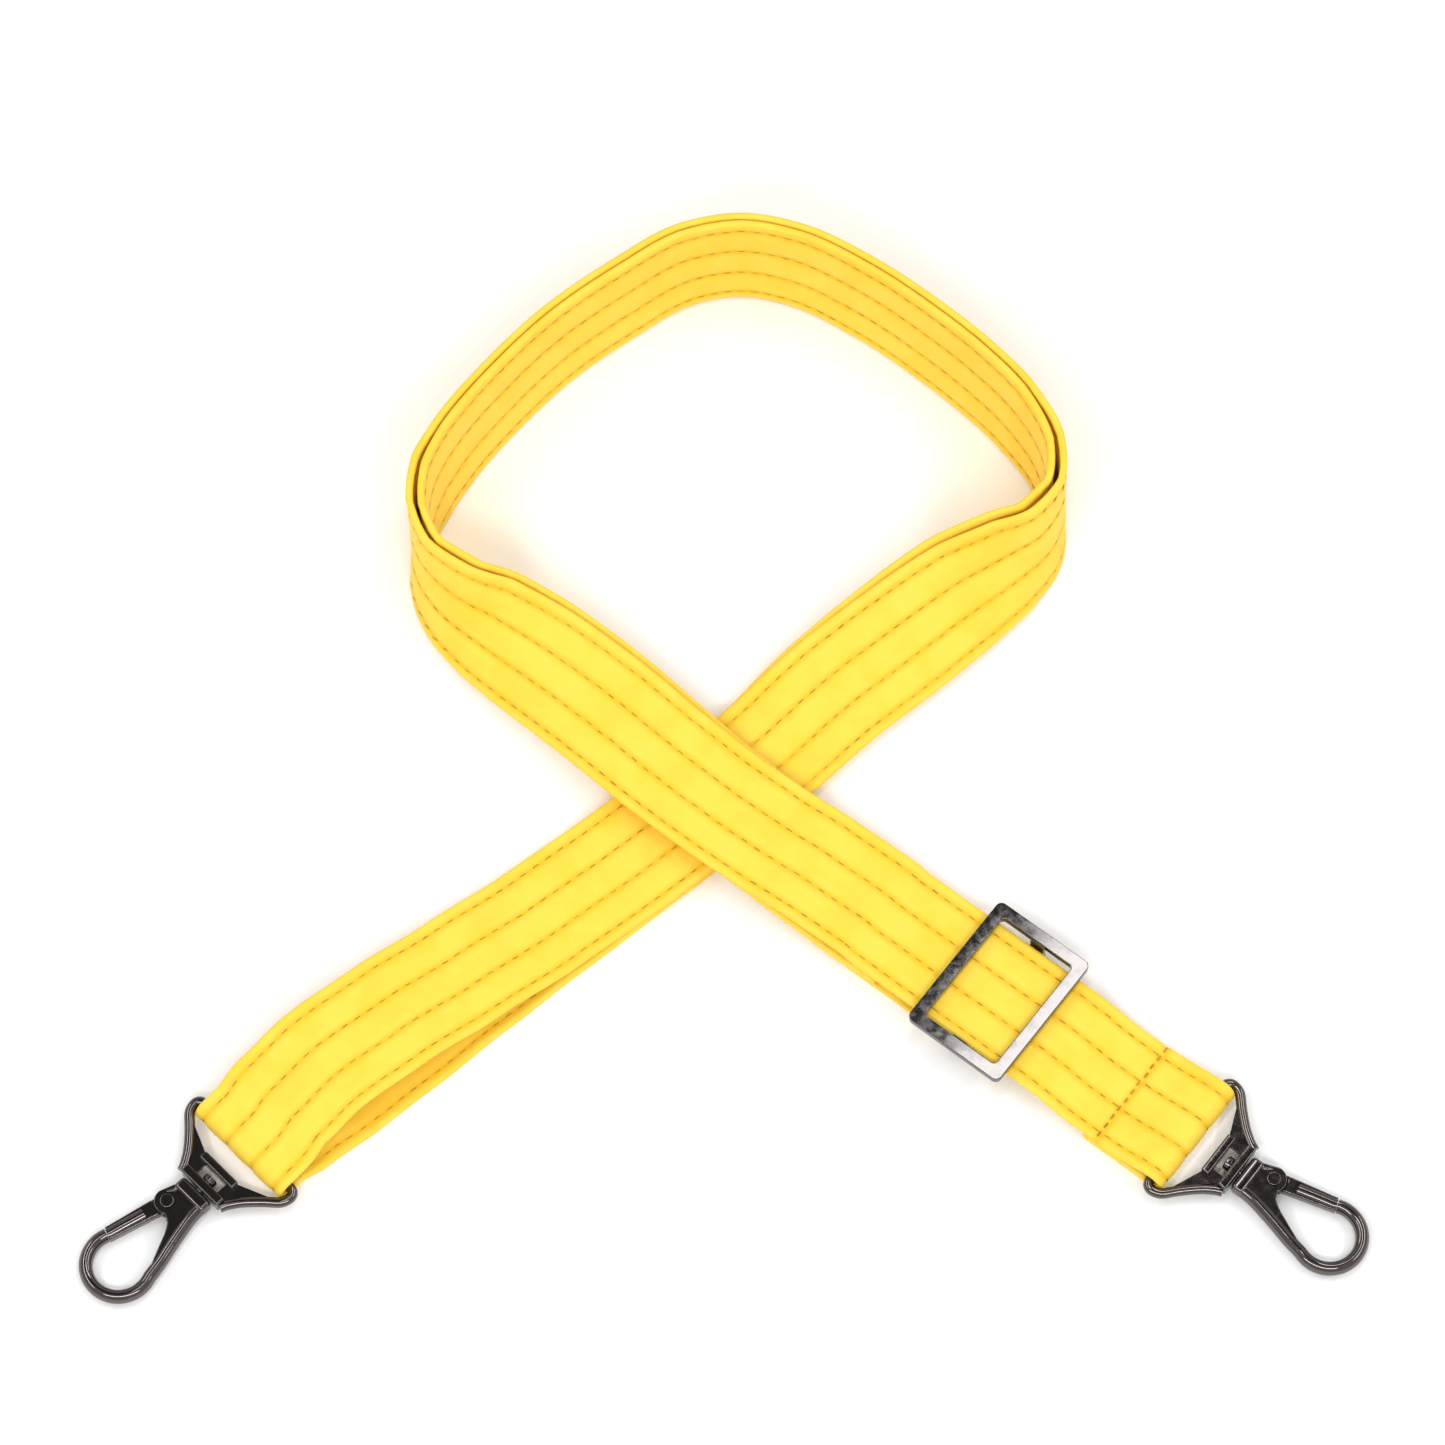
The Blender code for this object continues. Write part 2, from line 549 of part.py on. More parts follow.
def build_hook(side, bar, turn, rolled, metal, steel):
    """One whole snap hook: its place is an empty on the bar's axis, and the gate's is on its pivot."""
    place = bpy.data.objects.new(side + "_hook_place", None)
    pivot = bpy.data.objects.new(side + "_gate_pivot", None)
    for holder in (place, pivot):
        bpy.context.scene.collection.objects.link(holder)
    reach = EYE_CENTRE + EYE_OUTER_RADIUS
    pitch = asin((BAR_HEIGHT - BODY_THICKNESS / 2 - FLOOR_GAP / 2) / reach)
    place.matrix_world = (
        Matrix.Translation(bar + UP * BAR_HEIGHT)
        @ Matrix.Rotation(radians(turn), 4, "Z")
        @ Matrix.Rotation(pitch, 4, "Y")
        @ Matrix.Rotation(radians(180 if rolled else 0), 4, "X")
    )
    pivot.parent = place
    pivot.location = (*GATE_PIVOT, 0)
    loop, loop_tools = build_loop(side, metal)
    rivet, rivet_tools = build_rivet(side, metal)
    body, pin, body_tools = build_body(side, metal)
    gate, gate_tools = build_gate(side, metal)
    spring = build_spring(side, steel)
    for piece in [loop, rivet, body, pin, spring, *loop_tools, *rivet_tools, *body_tools]:
        piece.parent = place
    for piece in [gate, *gate_tools]:
        piece.parent = pivot


def stand_on_origin():
    """Moves the whole strap so that its box stands on the origin, under one empty."""
    bpy.context.view_layer.update()
    graph = bpy.context.evaluated_depsgraph_get()
    corners = []
    for item in bpy.context.scene.objects:
        if item.type == "MESH" and not item.hide_render:
            shown = item.evaluated_get(graph)
            corners += [shown.matrix_world @ Vector(corner) for corner in shown.bound_box]
    low, high = (Vector([pick(c[axis] for c in corners) for axis in range(3)]) for pick in (min, max))
    holder = bpy.data.objects.new("strap_place", None)
    bpy.context.scene.collection.objects.link(holder)
    holder.location = (-(low.x + high.x) / 2, -(low.y + high.y) / 2, -low.z)
    for item in bpy.context.scene.objects:
        if item.parent is None and item is not holder:
            item.parent = holder


def main():
    for old in list(bpy.data.objects):
        bpy.data.objects.remove(old, do_unlink=True)
    fabric = material("yellow_belt_cloth", (0.95, 0.67, 0.03), 0.0, 0.75)
    core = material("cotton_core", (0.82, 0.78, 0.68), 0.0, 0.9)
    metal = material("gunmetal_plate", (0.10, 0.095, 0.095), 1.0, 0.18)
    steel = material("spring_steel", (0.45, 0.45, 0.46), 1.0, 0.3)
    build_belt(fabric, core)
    build_slider(metal, fabric)
    build_hook("right", RIGHT_BAR, RIGHT_TURN, False, metal, steel)
    build_hook("left", LEFT_BAR, LEFT_TURN, True, metal, steel)
    stand_on_origin()


main()
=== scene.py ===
"""Martial arts belt made into a carry strap: stitched belt cloth, a slider and two swivel snap hooks.

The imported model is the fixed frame. Each class below holds one sub-assembly's sizes and builds the
pieces that show in place of its plain solids. Lengths are in metres, +Z is up, and the strap lies on
the plane z = 0.
"""

import json
import logging
from dataclasses import dataclass
from enum import Enum
from math import asin, cos, exp, floor, pi, radians, sin

import bmesh
import bpy
from mathutils import Matrix, Vector, noise

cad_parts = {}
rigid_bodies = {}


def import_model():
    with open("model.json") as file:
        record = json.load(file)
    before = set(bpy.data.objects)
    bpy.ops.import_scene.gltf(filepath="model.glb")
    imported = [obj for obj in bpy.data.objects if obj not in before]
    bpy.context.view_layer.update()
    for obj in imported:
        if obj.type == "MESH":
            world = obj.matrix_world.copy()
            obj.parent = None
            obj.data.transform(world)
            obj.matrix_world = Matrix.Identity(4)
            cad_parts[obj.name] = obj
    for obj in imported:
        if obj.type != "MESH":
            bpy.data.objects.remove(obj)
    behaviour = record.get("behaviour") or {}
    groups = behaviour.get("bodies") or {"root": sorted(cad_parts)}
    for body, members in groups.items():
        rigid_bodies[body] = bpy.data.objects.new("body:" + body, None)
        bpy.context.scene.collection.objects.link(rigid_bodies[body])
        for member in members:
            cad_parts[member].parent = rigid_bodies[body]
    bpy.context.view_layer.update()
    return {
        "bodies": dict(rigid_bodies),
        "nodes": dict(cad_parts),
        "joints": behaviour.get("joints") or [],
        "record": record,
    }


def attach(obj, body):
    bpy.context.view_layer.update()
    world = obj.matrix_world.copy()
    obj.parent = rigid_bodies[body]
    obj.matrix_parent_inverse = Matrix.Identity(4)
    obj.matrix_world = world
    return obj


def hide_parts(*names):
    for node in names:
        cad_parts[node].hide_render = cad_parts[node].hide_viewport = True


LOG = logging.getLogger("carry_strap")
MM = 0.001
UP = Vector((0.0, 0.0, 1.0))
ORIGIN = Vector((0.0, 0.0, 0.0))

# The belt's lower edge from the slider to the left hook, x and y in millimetres. Then the angle in degrees
# that the band leans from lying flat outwards (90 is upright, 180 flat inwards), how far it is lifted off
# what it lies on, how far its two plies part, and how far the inner ply lies outwards of the outer one.
ROUTE = (
    (34.0, -79.6, 180, 1.8, 1.4, 1.2),
    (18.0, -68.4, 180, 4.8, 0.8, 0.6),
    (1.5, -57.0, 180, 6.9, 0.2, -0.6),
    (-15.0, -44.4, 178, 7.2, 0.2, -1.6),
    (-32.0, -30.4, 173, 6.9, 0.3, -2.0),
    (-49.0, -14.6, 166, 4.6, 0.6, -2.0),
    (-68.0, 2.4, 153, 1.6, 0.9, -1.6),
    (-84.0, 17.6, 136, 0.2, 1.2, -1.0),
    (-93.0, 31.0, 116, 0.0, 1.2, -0.4),
    (-96.5, 45.0, 99, 0.0, 1.0, 0.0),
    (-94.5, 58.0, 87, 0.0, 1.0, 0.0),
    (-89.5, 70.0, 80, 0.0, 0.8, 0.0),
    (-83.0, 80.5, 78, 0.0, 0.2, 0.0),
    (-67.0, 101.0, 78, 0.0, 0.1, 0.0),
    (-52.0, 116.5, 78, 0.0, 0.1, 0.0),
    (-30.5, 133.0, 78, 0.0, 0.1, 0.0),
    (-11.0, 144.8, 78, 0.0, 0.1, 0.0),
    (5.0, 147.6, 78, 0.0, 0.1, 0.0),
    (20.5, 144.4, 78, 0.0, 0.1, 0.0),
    (41.0, 133.6, 78, 0.0, 0.1, 0.0),
    (60.0, 119.8, 78, 0.0, 0.1, 0.0),
    (74.0, 107.8, 78, 0.0, 0.1, 0.0),
    (88.0, 93.5, 79, 0.0, 0.2, 0.0),
    (98.5, 79.0, 84, 0.0, 0.8, 0.0),
    (103.3, 66.0, 93, 0.0, 1.2, -0.4),
    (102.5, 53.0, 107, 0.0, 1.2, -1.0),
    (96.0, 41.0, 124, 0.0, 1.0, -1.6),
    (84.0, 28.0, 142, 0.0, 0.7, -2.0),
    (66.0, 11.5, 158, 0.0, 0.3, -2.0),
    (44.5, -6.9, 171, 0.0, 0.2, -1.6),
    (26.0, -25.0, 178, 0.0, 0.1, -1.0),
    (8.0, -40.7, 180, 0.0, 0.1, 0.0),
    (-16.0, -60.2, 180, 0.0, 0.1, 0.0),
    (-45.0, -83.0, 180, 0.0, 0.9, 1.0),
    (-68.0, -101.0, 180, 0.0, 4.8, 2.5),
    (-90.0, -118.4, 180, 0.0, 8.9, 4.5),
    (-108.0, -132.6, 180, 0.0, 9.3, 5.5),
    (-121.0, -143.6, 180, 0.0, 6.4, 3.5),
)


class Side(Enum):
    """The strap's two ends, by where they lie."""

    RIGHT = "right"
    LEFT = "left"


class Operation(Enum):
    """What a Boolean does with its tool."""

    CUT = "DIFFERENCE"
    JOIN = "UNION"


# ---------------------------------------------------------------- shared helpers
def linear(hex_colour: str) -> tuple[float, float, float, float]:
    """Turns an sRGB hex colour to the linear values that shaders take.

    Args:
        hex_colour: the colour as six hex digits, with or without a hash.

    Returns:
        Red, green, blue and an alpha of 1.
    """
    digits = hex_colour.lstrip("#")
    values = [int(digits[k : k + 2], 16) / 255 for k in (0, 2, 4)]
    red, green, blue = [v / 12.92 if v <= 0.04045 else ((v + 0.055) / 1.055) ** 2.4 for v in values]
    return red, green, blue, 1.0


def add_node(
    tree: bpy.types.NodeTree,
    kind: str,
    settings: dict[str, object] | None = None,
    inputs: dict[str | int, object] | None = None,
) -> bpy.types.Node:
    """Adds one node to a tree.

    Args:
        tree: the node tree of a material or world.
        kind: the node's type, without the word ShaderNode.
        settings: the node's own properties.
        inputs: sockets by name or number, each a value or an output socket to link.

    Returns:
        The new node.
    """
    node = tree.nodes.new("ShaderNode" + kind)
    for name, value in (settings or {}).items():
        setattr(node, name, value)
    for name, value in (inputs or {}).items():
        if isinstance(value, bpy.types.NodeSocket):
            tree.links.new(value, node.inputs[name])
        else:
            node.inputs[name].default_value = value
    return node


def finished(
    name: str, shape: bmesh.types.BMesh, finish: bpy.types.Material, smooth_angle: float | None = 35.0
) -> bpy.types.Object:
    """Makes a finished bmesh one object at the origin, with its faces turned outwards.

    Args:
        name: the piece's name.
        shape: the mesh data, which this frees.
        finish: its material.
        smooth_angle: edges sharper than this many degrees stay crisp, or None for flat faces.

    Returns:
        The object.
    """
    bmesh.ops.recalc_face_normals(shape, faces=shape.faces)
    mesh = bpy.data.meshes.new(name)
    shape.to_mesh(mesh)
    shape.free()
    if smooth_angle is not None:
        mesh.shade_smooth()
        mesh.set_sharp_from_angle(angle=radians(smooth_angle))
    mesh.materials.append(finish)
    made = bpy.data.objects.new(name, mesh)
    bpy.context.scene.collection.objects.link(made)
    return made


def apply_modifiers(piece: bpy.types.Object) -> None:
    """Replaces a piece's mesh with what its modifiers make of it."""
    bpy.context.view_layer.update()
    graph = bpy.context.evaluated_depsgraph_get()
    piece.data = bpy.data.meshes.new_from_object(piece.evaluated_get(graph))
    piece.modifiers.clear()


def settle(piece: bpy.types.Object, place: Matrix, tools: tuple[bpy.types.Object, ...] = ()) -> None:
    """Applies a piece's modifiers, moves its mesh to its place and removes its tools.

    Args:
        piece: the object, built in its own axes.
        place: where it goes, in the strap's frame.
        tools: the cutters and added shapes that its modifiers read.
    """
    apply_modifiers(piece)
    piece.data.set_sharp_from_angle(angle=radians(35))
    weigh = piece.modifiers.new("flat_faces_stay_flat", "WEIGHTED_NORMAL")
    weigh.keep_sharp = True
    apply_modifiers(piece)
    piece.data.transform(place)
    for tool in tools:
        bpy.data.objects.remove(tool, do_unlink=True)


def combine(piece: bpy.types.Object, tool: bpy.types.Object, operation: Operation) -> None:
    """Puts an exact Boolean on a piece, to be applied when it settles."""
    step = piece.modifiers.new(tool.name, "BOOLEAN")
    step.operation = operation.value
    step.solver = "EXACT"
    step.object = tool


def round_edges(piece: bpy.types.Object, width: float, angle: float = 40.0) -> None:
    """Adds a small rolled edge where a piece's faces meet sharply.

    Args:
        piece: the object.
        width: the edge's width in metres.
        angle: the least angle in degrees between the faces of a rounded edge.
    """
    step = piece.modifiers.new("rolled_edge", "BEVEL")
    step.width = width
    step.segments = 3
    step.limit_method = "ANGLE"
    step.angle_limit = radians(angle)
    step.use_clamp_overlap = True


def arc(
    centre: tuple[float, float], radius: float, start: float, end: float, steps: int
) -> list[tuple[float, float]]:
    """Points on a circle from one angle to another, in degrees."""
    angles = [radians(start + (end - start) * k / steps) for k in range(steps + 1)]
    return [(centre[0] + radius * cos(a), centre[1] + radius * sin(a)) for a in angles]


def rounded(half_x: float, half_y: float, radius: float, steps: int = 10) -> list[tuple[float, float]]:
    """The outline of a rectangle about the origin with rounded corners."""
    points: list[tuple[float, float]] = []
    for quarter, (sx, sy) in enumerate(((1, 1), (-1, 1), (-1, -1), (1, -1))):
        centre = (sx * (half_x - radius), sy * (half_y - radius))
        points += arc(centre, radius, 90 * quarter, 90 * quarter + 90, steps)
    return points


def plate(
    name: str,
    outline: list[tuple[float, float]],
    bottom: float,
    top: float,
    finish: bpy.types.Material,
    rim: float = 0.0,
    segments: int = 4,
) -> bpy.types.Object:
    """A flat outline pulled up from bottom to top, with its two rims rounded.

    Args:
        name: the piece's name.
        outline: its corners, in order.
        bottom: height of the lower face.
        top: height of the upper face.
        finish: its material.
        rim: how far in the rounding reaches.
        segments: how many strips of faces the rounding has.

    Returns:
        The object, in its own axes.
    """
    shape = bmesh.new()
    face = shape.faces.new([shape.verts.new((x, y, bottom)) for x, y in outline])
    pulled = bmesh.ops.extrude_face_region(shape, geom=[face])["geom"]
    raised = [item for item in pulled if isinstance(item, bmesh.types.BMVert)]
    bmesh.ops.translate(shape, verts=raised, vec=(0, 0, top - bottom))
    bmesh.ops.recalc_face_normals(shape, faces=shape.faces)
    if rim:
        rims = [e for e in shape.edges if abs(e.verts[0].co.z - e.verts[1].co.z) < rim / 10]
        bmesh.ops.bevel(
            shape, geom=rims, offset=rim, segments=segments, profile=0.5, affect="EDGES", material=-1
        )
    return finished(name, shape, finish)


def rod(
    name: str,
    radius: float,
    start: Vector | tuple[float, float, float],
    end: Vector | tuple[float, float, float],
    finish: bpy.types.Material,
    rim: float = 0.0,
    sides: int = 40,
) -> bpy.types.Object:
    """A round rod between two points, with its ends' edges rounded by rim."""
    start, end = Vector(start), Vector(end)
    shape = bmesh.new()
    bmesh.ops.create_cone(
        shape, cap_ends=True, segments=sides, radius1=radius, radius2=radius, depth=(end - start).length
    )
    if rim:
        rims = [e for e in shape.edges if abs(e.verts[0].co.z - e.verts[1].co.z) < rim / 10]
        bmesh.ops.bevel(shape, geom=rims, offset=rim, segments=3, profile=0.5, affect="EDGES", material=-1)
    turn = (end - start).to_track_quat("Z", "Y").to_matrix().to_4x4()
    bmesh.ops.transform(shape, matrix=Matrix.Translation((start + end) / 2) @ turn, verts=shape.verts)
    return finished(name, shape, finish)


def block(
    name: str,
    low: tuple[float, float, float],
    high: tuple[float, float, float],
    finish: bpy.types.Material,
    rim: float = 0.0,
) -> bpy.types.Object:
    """A box between two corners, with all its edges rounded by rim."""
    shape = bmesh.new()
    bmesh.ops.create_cube(shape, size=1)
    bmesh.ops.scale(shape, vec=Vector(high) - Vector(low), verts=shape.verts)
    bmesh.ops.translate(shape, vec=(Vector(low) + Vector(high)) / 2, verts=shape.verts)
    if rim:
        bmesh.ops.bevel(
            shape, geom=shape.edges, offset=rim, segments=4, profile=0.5, affect="EDGES", material=-1
        )
    return finished(name, shape, finish, 35.0 if rim else None)


def flowing(points: list[tuple[float, float]], steps: int = 8) -> list[tuple[float, float]]:
    """Points on a smooth curve through the given ones, with so many steps between each two."""
    ends = [points[0], *points, points[-1]]
    found = []
    for a, b, c, d in zip(ends, ends[1:], ends[2:], ends[3:]):
        for k in range(steps):
            t = k / steps
            found.append(
                tuple(
                    0.5 * (
                        2 * q + (r - p) * t + (2 * p - 5 * q + 4 * r - v) * t * t
                        + (3 * q - p - 3 * r + v) * t**3
                    )
                    for p, q, r, v in zip(a, b, c, d)
                )
            )
    return [*found, points[-1]]


def wire(
    name: str,
    path: list[tuple[float, float]],
    half_wide: tuple[float, float],
    half_high: float,
    finish: bpy.types.Material,
    sides: int = 28,
) -> bpy.types.Object:
    """A rounded bar swept along a path in the plane z = 0, closed at both ends.

    Args:
        name: the piece's name.
        path: its middle line.
        half_wide: half its width at the path's start and at its end.
        half_high: half its height.
        finish: its material.
        sides: how many faces go round it.

    Returns:
        The object, in its own axes.
    """
    shape = bmesh.new()
    rings = []
    for i, (x, y) in enumerate(path):
        before, after = path[max(i - 1, 0)], path[min(i + 1, len(path) - 1)]
        aside = UP.cross(Vector((after[0] - before[0], after[1] - before[1], 0)).normalized())
        reach = half_wide[0] + (half_wide[1] - half_wide[0]) * i / (len(path) - 1)
        section = Matrix((aside * reach, UP * half_high, aside.cross(UP))).transposed().to_4x4()
        ring = bmesh.ops.create_circle(
            shape, cap_ends=i in (0, len(path) - 1), radius=1.0, segments=sides,
            matrix=Matrix.Translation((x, y, 0)) @ section,
        )["verts"]
        rings.append(list(dict.fromkeys(edge for vert in ring for edge in vert.link_edges)))
    for one, two in zip(rings, rings[1:]):
        bmesh.ops.bridge_loops(shape, edges=one + two)
    return finished(name, shape, finish)


# ---------------------------------------------------------------- finishes
@dataclass(frozen=True)
class BeltCloth:
    """Yellow cotton satin over a cotton core, quilted by lengthwise rows of lockstitch.

    It reads the piece's UV map, whose u runs along the belt and v across it, both in metres, and the
    attribute seam, which is 1 at a row of stitches and at the cross seam's crease and 0 away from it.
    Where seam is 1 the colour turns to the darker seam yellow: painted shade in those grooves.
    """

    name: str = "yellow_cotton_satin"
    face: str = "#FAD54C"
    shade: str = "#F8CF40"
    # painted shade: the darker yellow mixed in where the seam attribute marks a stitch groove or the cross crease
    seam: str = "#EDBB20"
    thread_spacing: float = 0.45 * MM  # real satin runs near 0.25 mm: drawn coarser so that it shows
    mottle_size: float = 14 * MM
    crease_size: float = 3.2 * MM

    def build(self) -> bpy.types.Material:
        """Makes the material: a soft satin face whose weave and small creases catch the light, with painted
        shade mixed into its stitch grooves.
        """
        made = bpy.data.materials.new(self.name)
        made.use_nodes = True
        tree = made.node_tree
        shader = tree.nodes["Principled BSDF"]
        uv = add_node(tree, "UVMap", {"uv_map": "cloth"}).outputs["UV"]
        cloud = add_node(
            tree, "TexNoise", {"noise_dimensions": "2D"},
            {"Vector": uv, "Scale": 1 / self.mottle_size, "Detail": 3.0, "Roughness": 0.55},
        )
        tone = add_node(tree, "ValToRGB", inputs={"Fac": cloud.outputs["Fac"]})
        tone.color_ramp.elements[0].position, tone.color_ramp.elements[1].position = 0.35, 0.62
        tone.color_ramp.elements[0].color = linear(self.shade)
        tone.color_ramp.elements[1].color = linear(self.face)
        # the seam weight blends the seam yellow in as painted shade of the grooves
        seam = add_node(tree, "Attribute", {"attribute_name": "seam"}).outputs["Fac"]
        colour = add_node(
            tree, "Mix", {"data_type": "RGBA"}, {0: seam, 6: tone.outputs["Color"], 7: linear(self.seam)}
        )
        tree.links.new(colour.outputs[2], shader.inputs["Base Color"])
        warp = add_node(
            tree, "TexWave", {"bands_direction": "X", "wave_profile": "SIN"},
            {"Vector": uv, "Scale": 0.314 / self.thread_spacing, "Distortion": 0.6, "Detail": 1.0},
        )
        weft = add_node(
            tree, "TexWave", {"bands_direction": "Y", "wave_profile": "SIN"},
            {"Vector": uv, "Scale": 0.314 / self.thread_spacing * 0.55, "Distortion": 0.6, "Detail": 1.0},
        )
        weave = add_node(
            tree, "Math", {"operation": "MULTIPLY"}, {0: warp.outputs["Fac"], 1: weft.outputs["Fac"]}
        )
        creases = add_node(
            tree, "TexNoise", {"noise_dimensions": "2D"},
            {"Vector": uv, "Scale": 1 / self.crease_size, "Detail": 2.0, "Roughness": 0.5},
        )
        fine = add_node(
            tree, "Bump", inputs={"Strength": 0.25, "Distance": 0.06 * MM, "Height": weave.outputs["Value"]}
        )
        broad = add_node(
            tree, "Bump",
            inputs={
                "Strength": 0.5, "Distance": 0.18 * MM, "Height": creases.outputs["Fac"],
                "Normal": fine.outputs["Normal"],
            },
        )
        tree.links.new(broad.outputs["Normal"], shader.inputs["Normal"])
        shader.inputs["Roughness"].default_value = 0.55
        shader.inputs["Specular IOR Level"].default_value = 0.25
        shader.inputs["Sheen Weight"].default_value = 0.05
        shader.inputs["Sheen Roughness"].default_value = 0.4
        shader.inputs["Sheen Tint"].default_value = linear("#FFF3A8")
        return made


@dataclass(frozen=True)
class StitchThread:
    """Spun polyester thread, a little darker and browner than the cloth, twisted so that it glints. The darkness
    is partly its own yellow-ochre and partly painted shade of the needle holes that it sinks into.
    """

    name: str = "ochre_polyester_thread"
    # both thread yellows sit below the cloth's partly as painted shade of the needle holes
    dark: str = "#96760C"
    light: str = "#C7A31C"
    twist_spacing: float = 0.35 * MM

    def build(self) -> bpy.types.Material:
        """Makes the material: a matt thread with a slanted twist and light and dark lengths."""
        made = bpy.data.materials.new(self.name)
        made.use_nodes = True
        tree = made.node_tree
        shader = tree.nodes["Principled BSDF"]
        place = add_node(tree, "TexCoord").outputs["Object"]
        twist = add_node(
            tree, "TexWave", {"bands_direction": "DIAGONAL"},
            {"Vector": place, "Scale": 0.314 / self.twist_spacing, "Distortion": 0.5},
        )
        patch = add_node(tree, "TexNoise", inputs={"Vector": place, "Scale": 1 / (9 * MM), "Detail": 2.0})
        tone = add_node(tree, "ValToRGB", inputs={"Fac": patch.outputs["Fac"]})
        tone.color_ramp.elements[0].position, tone.color_ramp.elements[1].position = 0.3, 0.7
        tone.color_ramp.elements[0].color = linear(self.dark)
        tone.color_ramp.elements[1].color = linear(self.light)
        tree.links.new(tone.outputs["Color"], shader.inputs["Base Color"])
        bump = add_node(
            tree, "Bump", inputs={"Strength": 0.4, "Distance": 0.05 * MM, "Height": twist.outputs["Fac"]}
        )
        tree.links.new(bump.outputs["Normal"], shader.inputs["Normal"])
        shader.inputs["Roughness"].default_value = 0.6
        return made


@dataclass(frozen=True)
class BlackNickel:
    """Zinc die casting with polished black nickel plate: a dark mirror with faint polishing waves."""

    name: str
    tint: str = "#5F5957"
    bare: str = "#6B6563"
    roughness: float = 0.06
    wave_size: float = 5 * MM
    wave_depth: float = 0.02 * MM

    def build(self) -> bpy.types.Material:
        """Makes the material, with slow waves and slightly duller patches."""
        made = bpy.data.materials.new(self.name)
        made.use_nodes = True
        tree = made.node_tree
        shader = tree.nodes["Principled BSDF"]
        place = add_node(tree, "TexCoord").outputs["Object"]
        waves = add_node(
            tree, "TexNoise", inputs={"Vector": place, "Scale": 1 / self.wave_size, "Detail": 1.5}
        )
        patch = add_node(
            tree, "TexNoise", inputs={"Vector": place, "Scale": 1 / (2.2 * MM), "Detail": 4.0}
        )
        dull = add_node(
            tree, "MapRange",
            inputs={
                "Value": patch.outputs["Fac"], "From Min": 0.35, "From Max": 0.75,
                "To Min": self.roughness, "To Max": self.roughness + 0.06,
            },
        )
        tree.links.new(dull.outputs["Result"], shader.inputs["Roughness"])
        tone = add_node(tree, "ValToRGB", inputs={"Fac": patch.outputs["Fac"]})
        tone.color_ramp.elements[0].color = linear(self.tint)
        tone.color_ramp.elements[1].color = linear(self.bare)
        tree.links.new(tone.outputs["Color"], shader.inputs["Base Color"])
        bump = add_node(
            tree, "Bump",
            inputs={"Strength": 0.5, "Distance": self.wave_depth, "Height": waves.outputs["Fac"]},
        )
        tree.links.new(bump.outputs["Normal"], shader.inputs["Normal"])
        shader.inputs["Metallic"].default_value = 1.0
        return made


@dataclass(frozen=True)
class SpringWire:
    """Bright drawn spring steel, with faint drawing marks."""

    name: str = "drawn_spring_steel"

    def build(self) -> bpy.types.Material:
        """Makes the material."""
        made = bpy.data.materials.new(self.name)
        made.use_nodes = True
        tree = made.node_tree
        shader = tree.nodes["Principled BSDF"]
        place = add_node(tree, "TexCoord").outputs["Object"]
        marks = add_node(tree, "TexNoise", inputs={"Vector": place, "Scale": 1 / (0.3 * MM), "Detail": 2.0})
        rough = add_node(
            tree, "MapRange", inputs={"Value": marks.outputs["Fac"], "To Min": 0.2, "To Max": 0.4}
        )
        tree.links.new(rough.outputs["Result"], shader.inputs["Roughness"])
        shader.inputs["Base Color"].default_value = linear("#B4B4B6")
        shader.inputs["Metallic"].default_value = 1.0
        return made


@dataclass(frozen=True)
class PaperFloor:
    """Matt white backdrop paper, nearly as bright as the light on it."""

    name: str = "white_backdrop_paper"

    def build(self) -> bpy.types.Material:
        """Makes the material, with a faint paper tooth."""
        made = bpy.data.materials.new(self.name)
        made.use_nodes = True
        tree = made.node_tree
        shader = tree.nodes["Principled BSDF"]
        place = add_node(tree, "TexCoord").outputs["Object"]
        tooth = add_node(tree, "TexNoise", inputs={"Vector": place, "Scale": 1 / (1.5 * MM), "Detail": 2.0})
        bump = add_node(
            tree, "Bump", inputs={"Strength": 0.1, "Distance": 0.05 * MM, "Height": tooth.outputs["Fac"]}
        )
        tree.links.new(bump.outputs["Normal"], shader.inputs["Normal"])
        shader.inputs["Base Color"].default_value = linear("#FCFCFC")
        shader.inputs["Roughness"].default_value = 0.9
        shader.inputs["Specular IOR Level"].default_value = 0.2
        return made


# ---------------------------------------------------------------- where the band runs
@dataclass(frozen=True)
class Station:
    """One place on a band: its middle point, the direction across it, and how its two plies part."""

    middle: Vector
    across: Vector
    half_apart: float = 0.0
    half_slip: float = 0.0


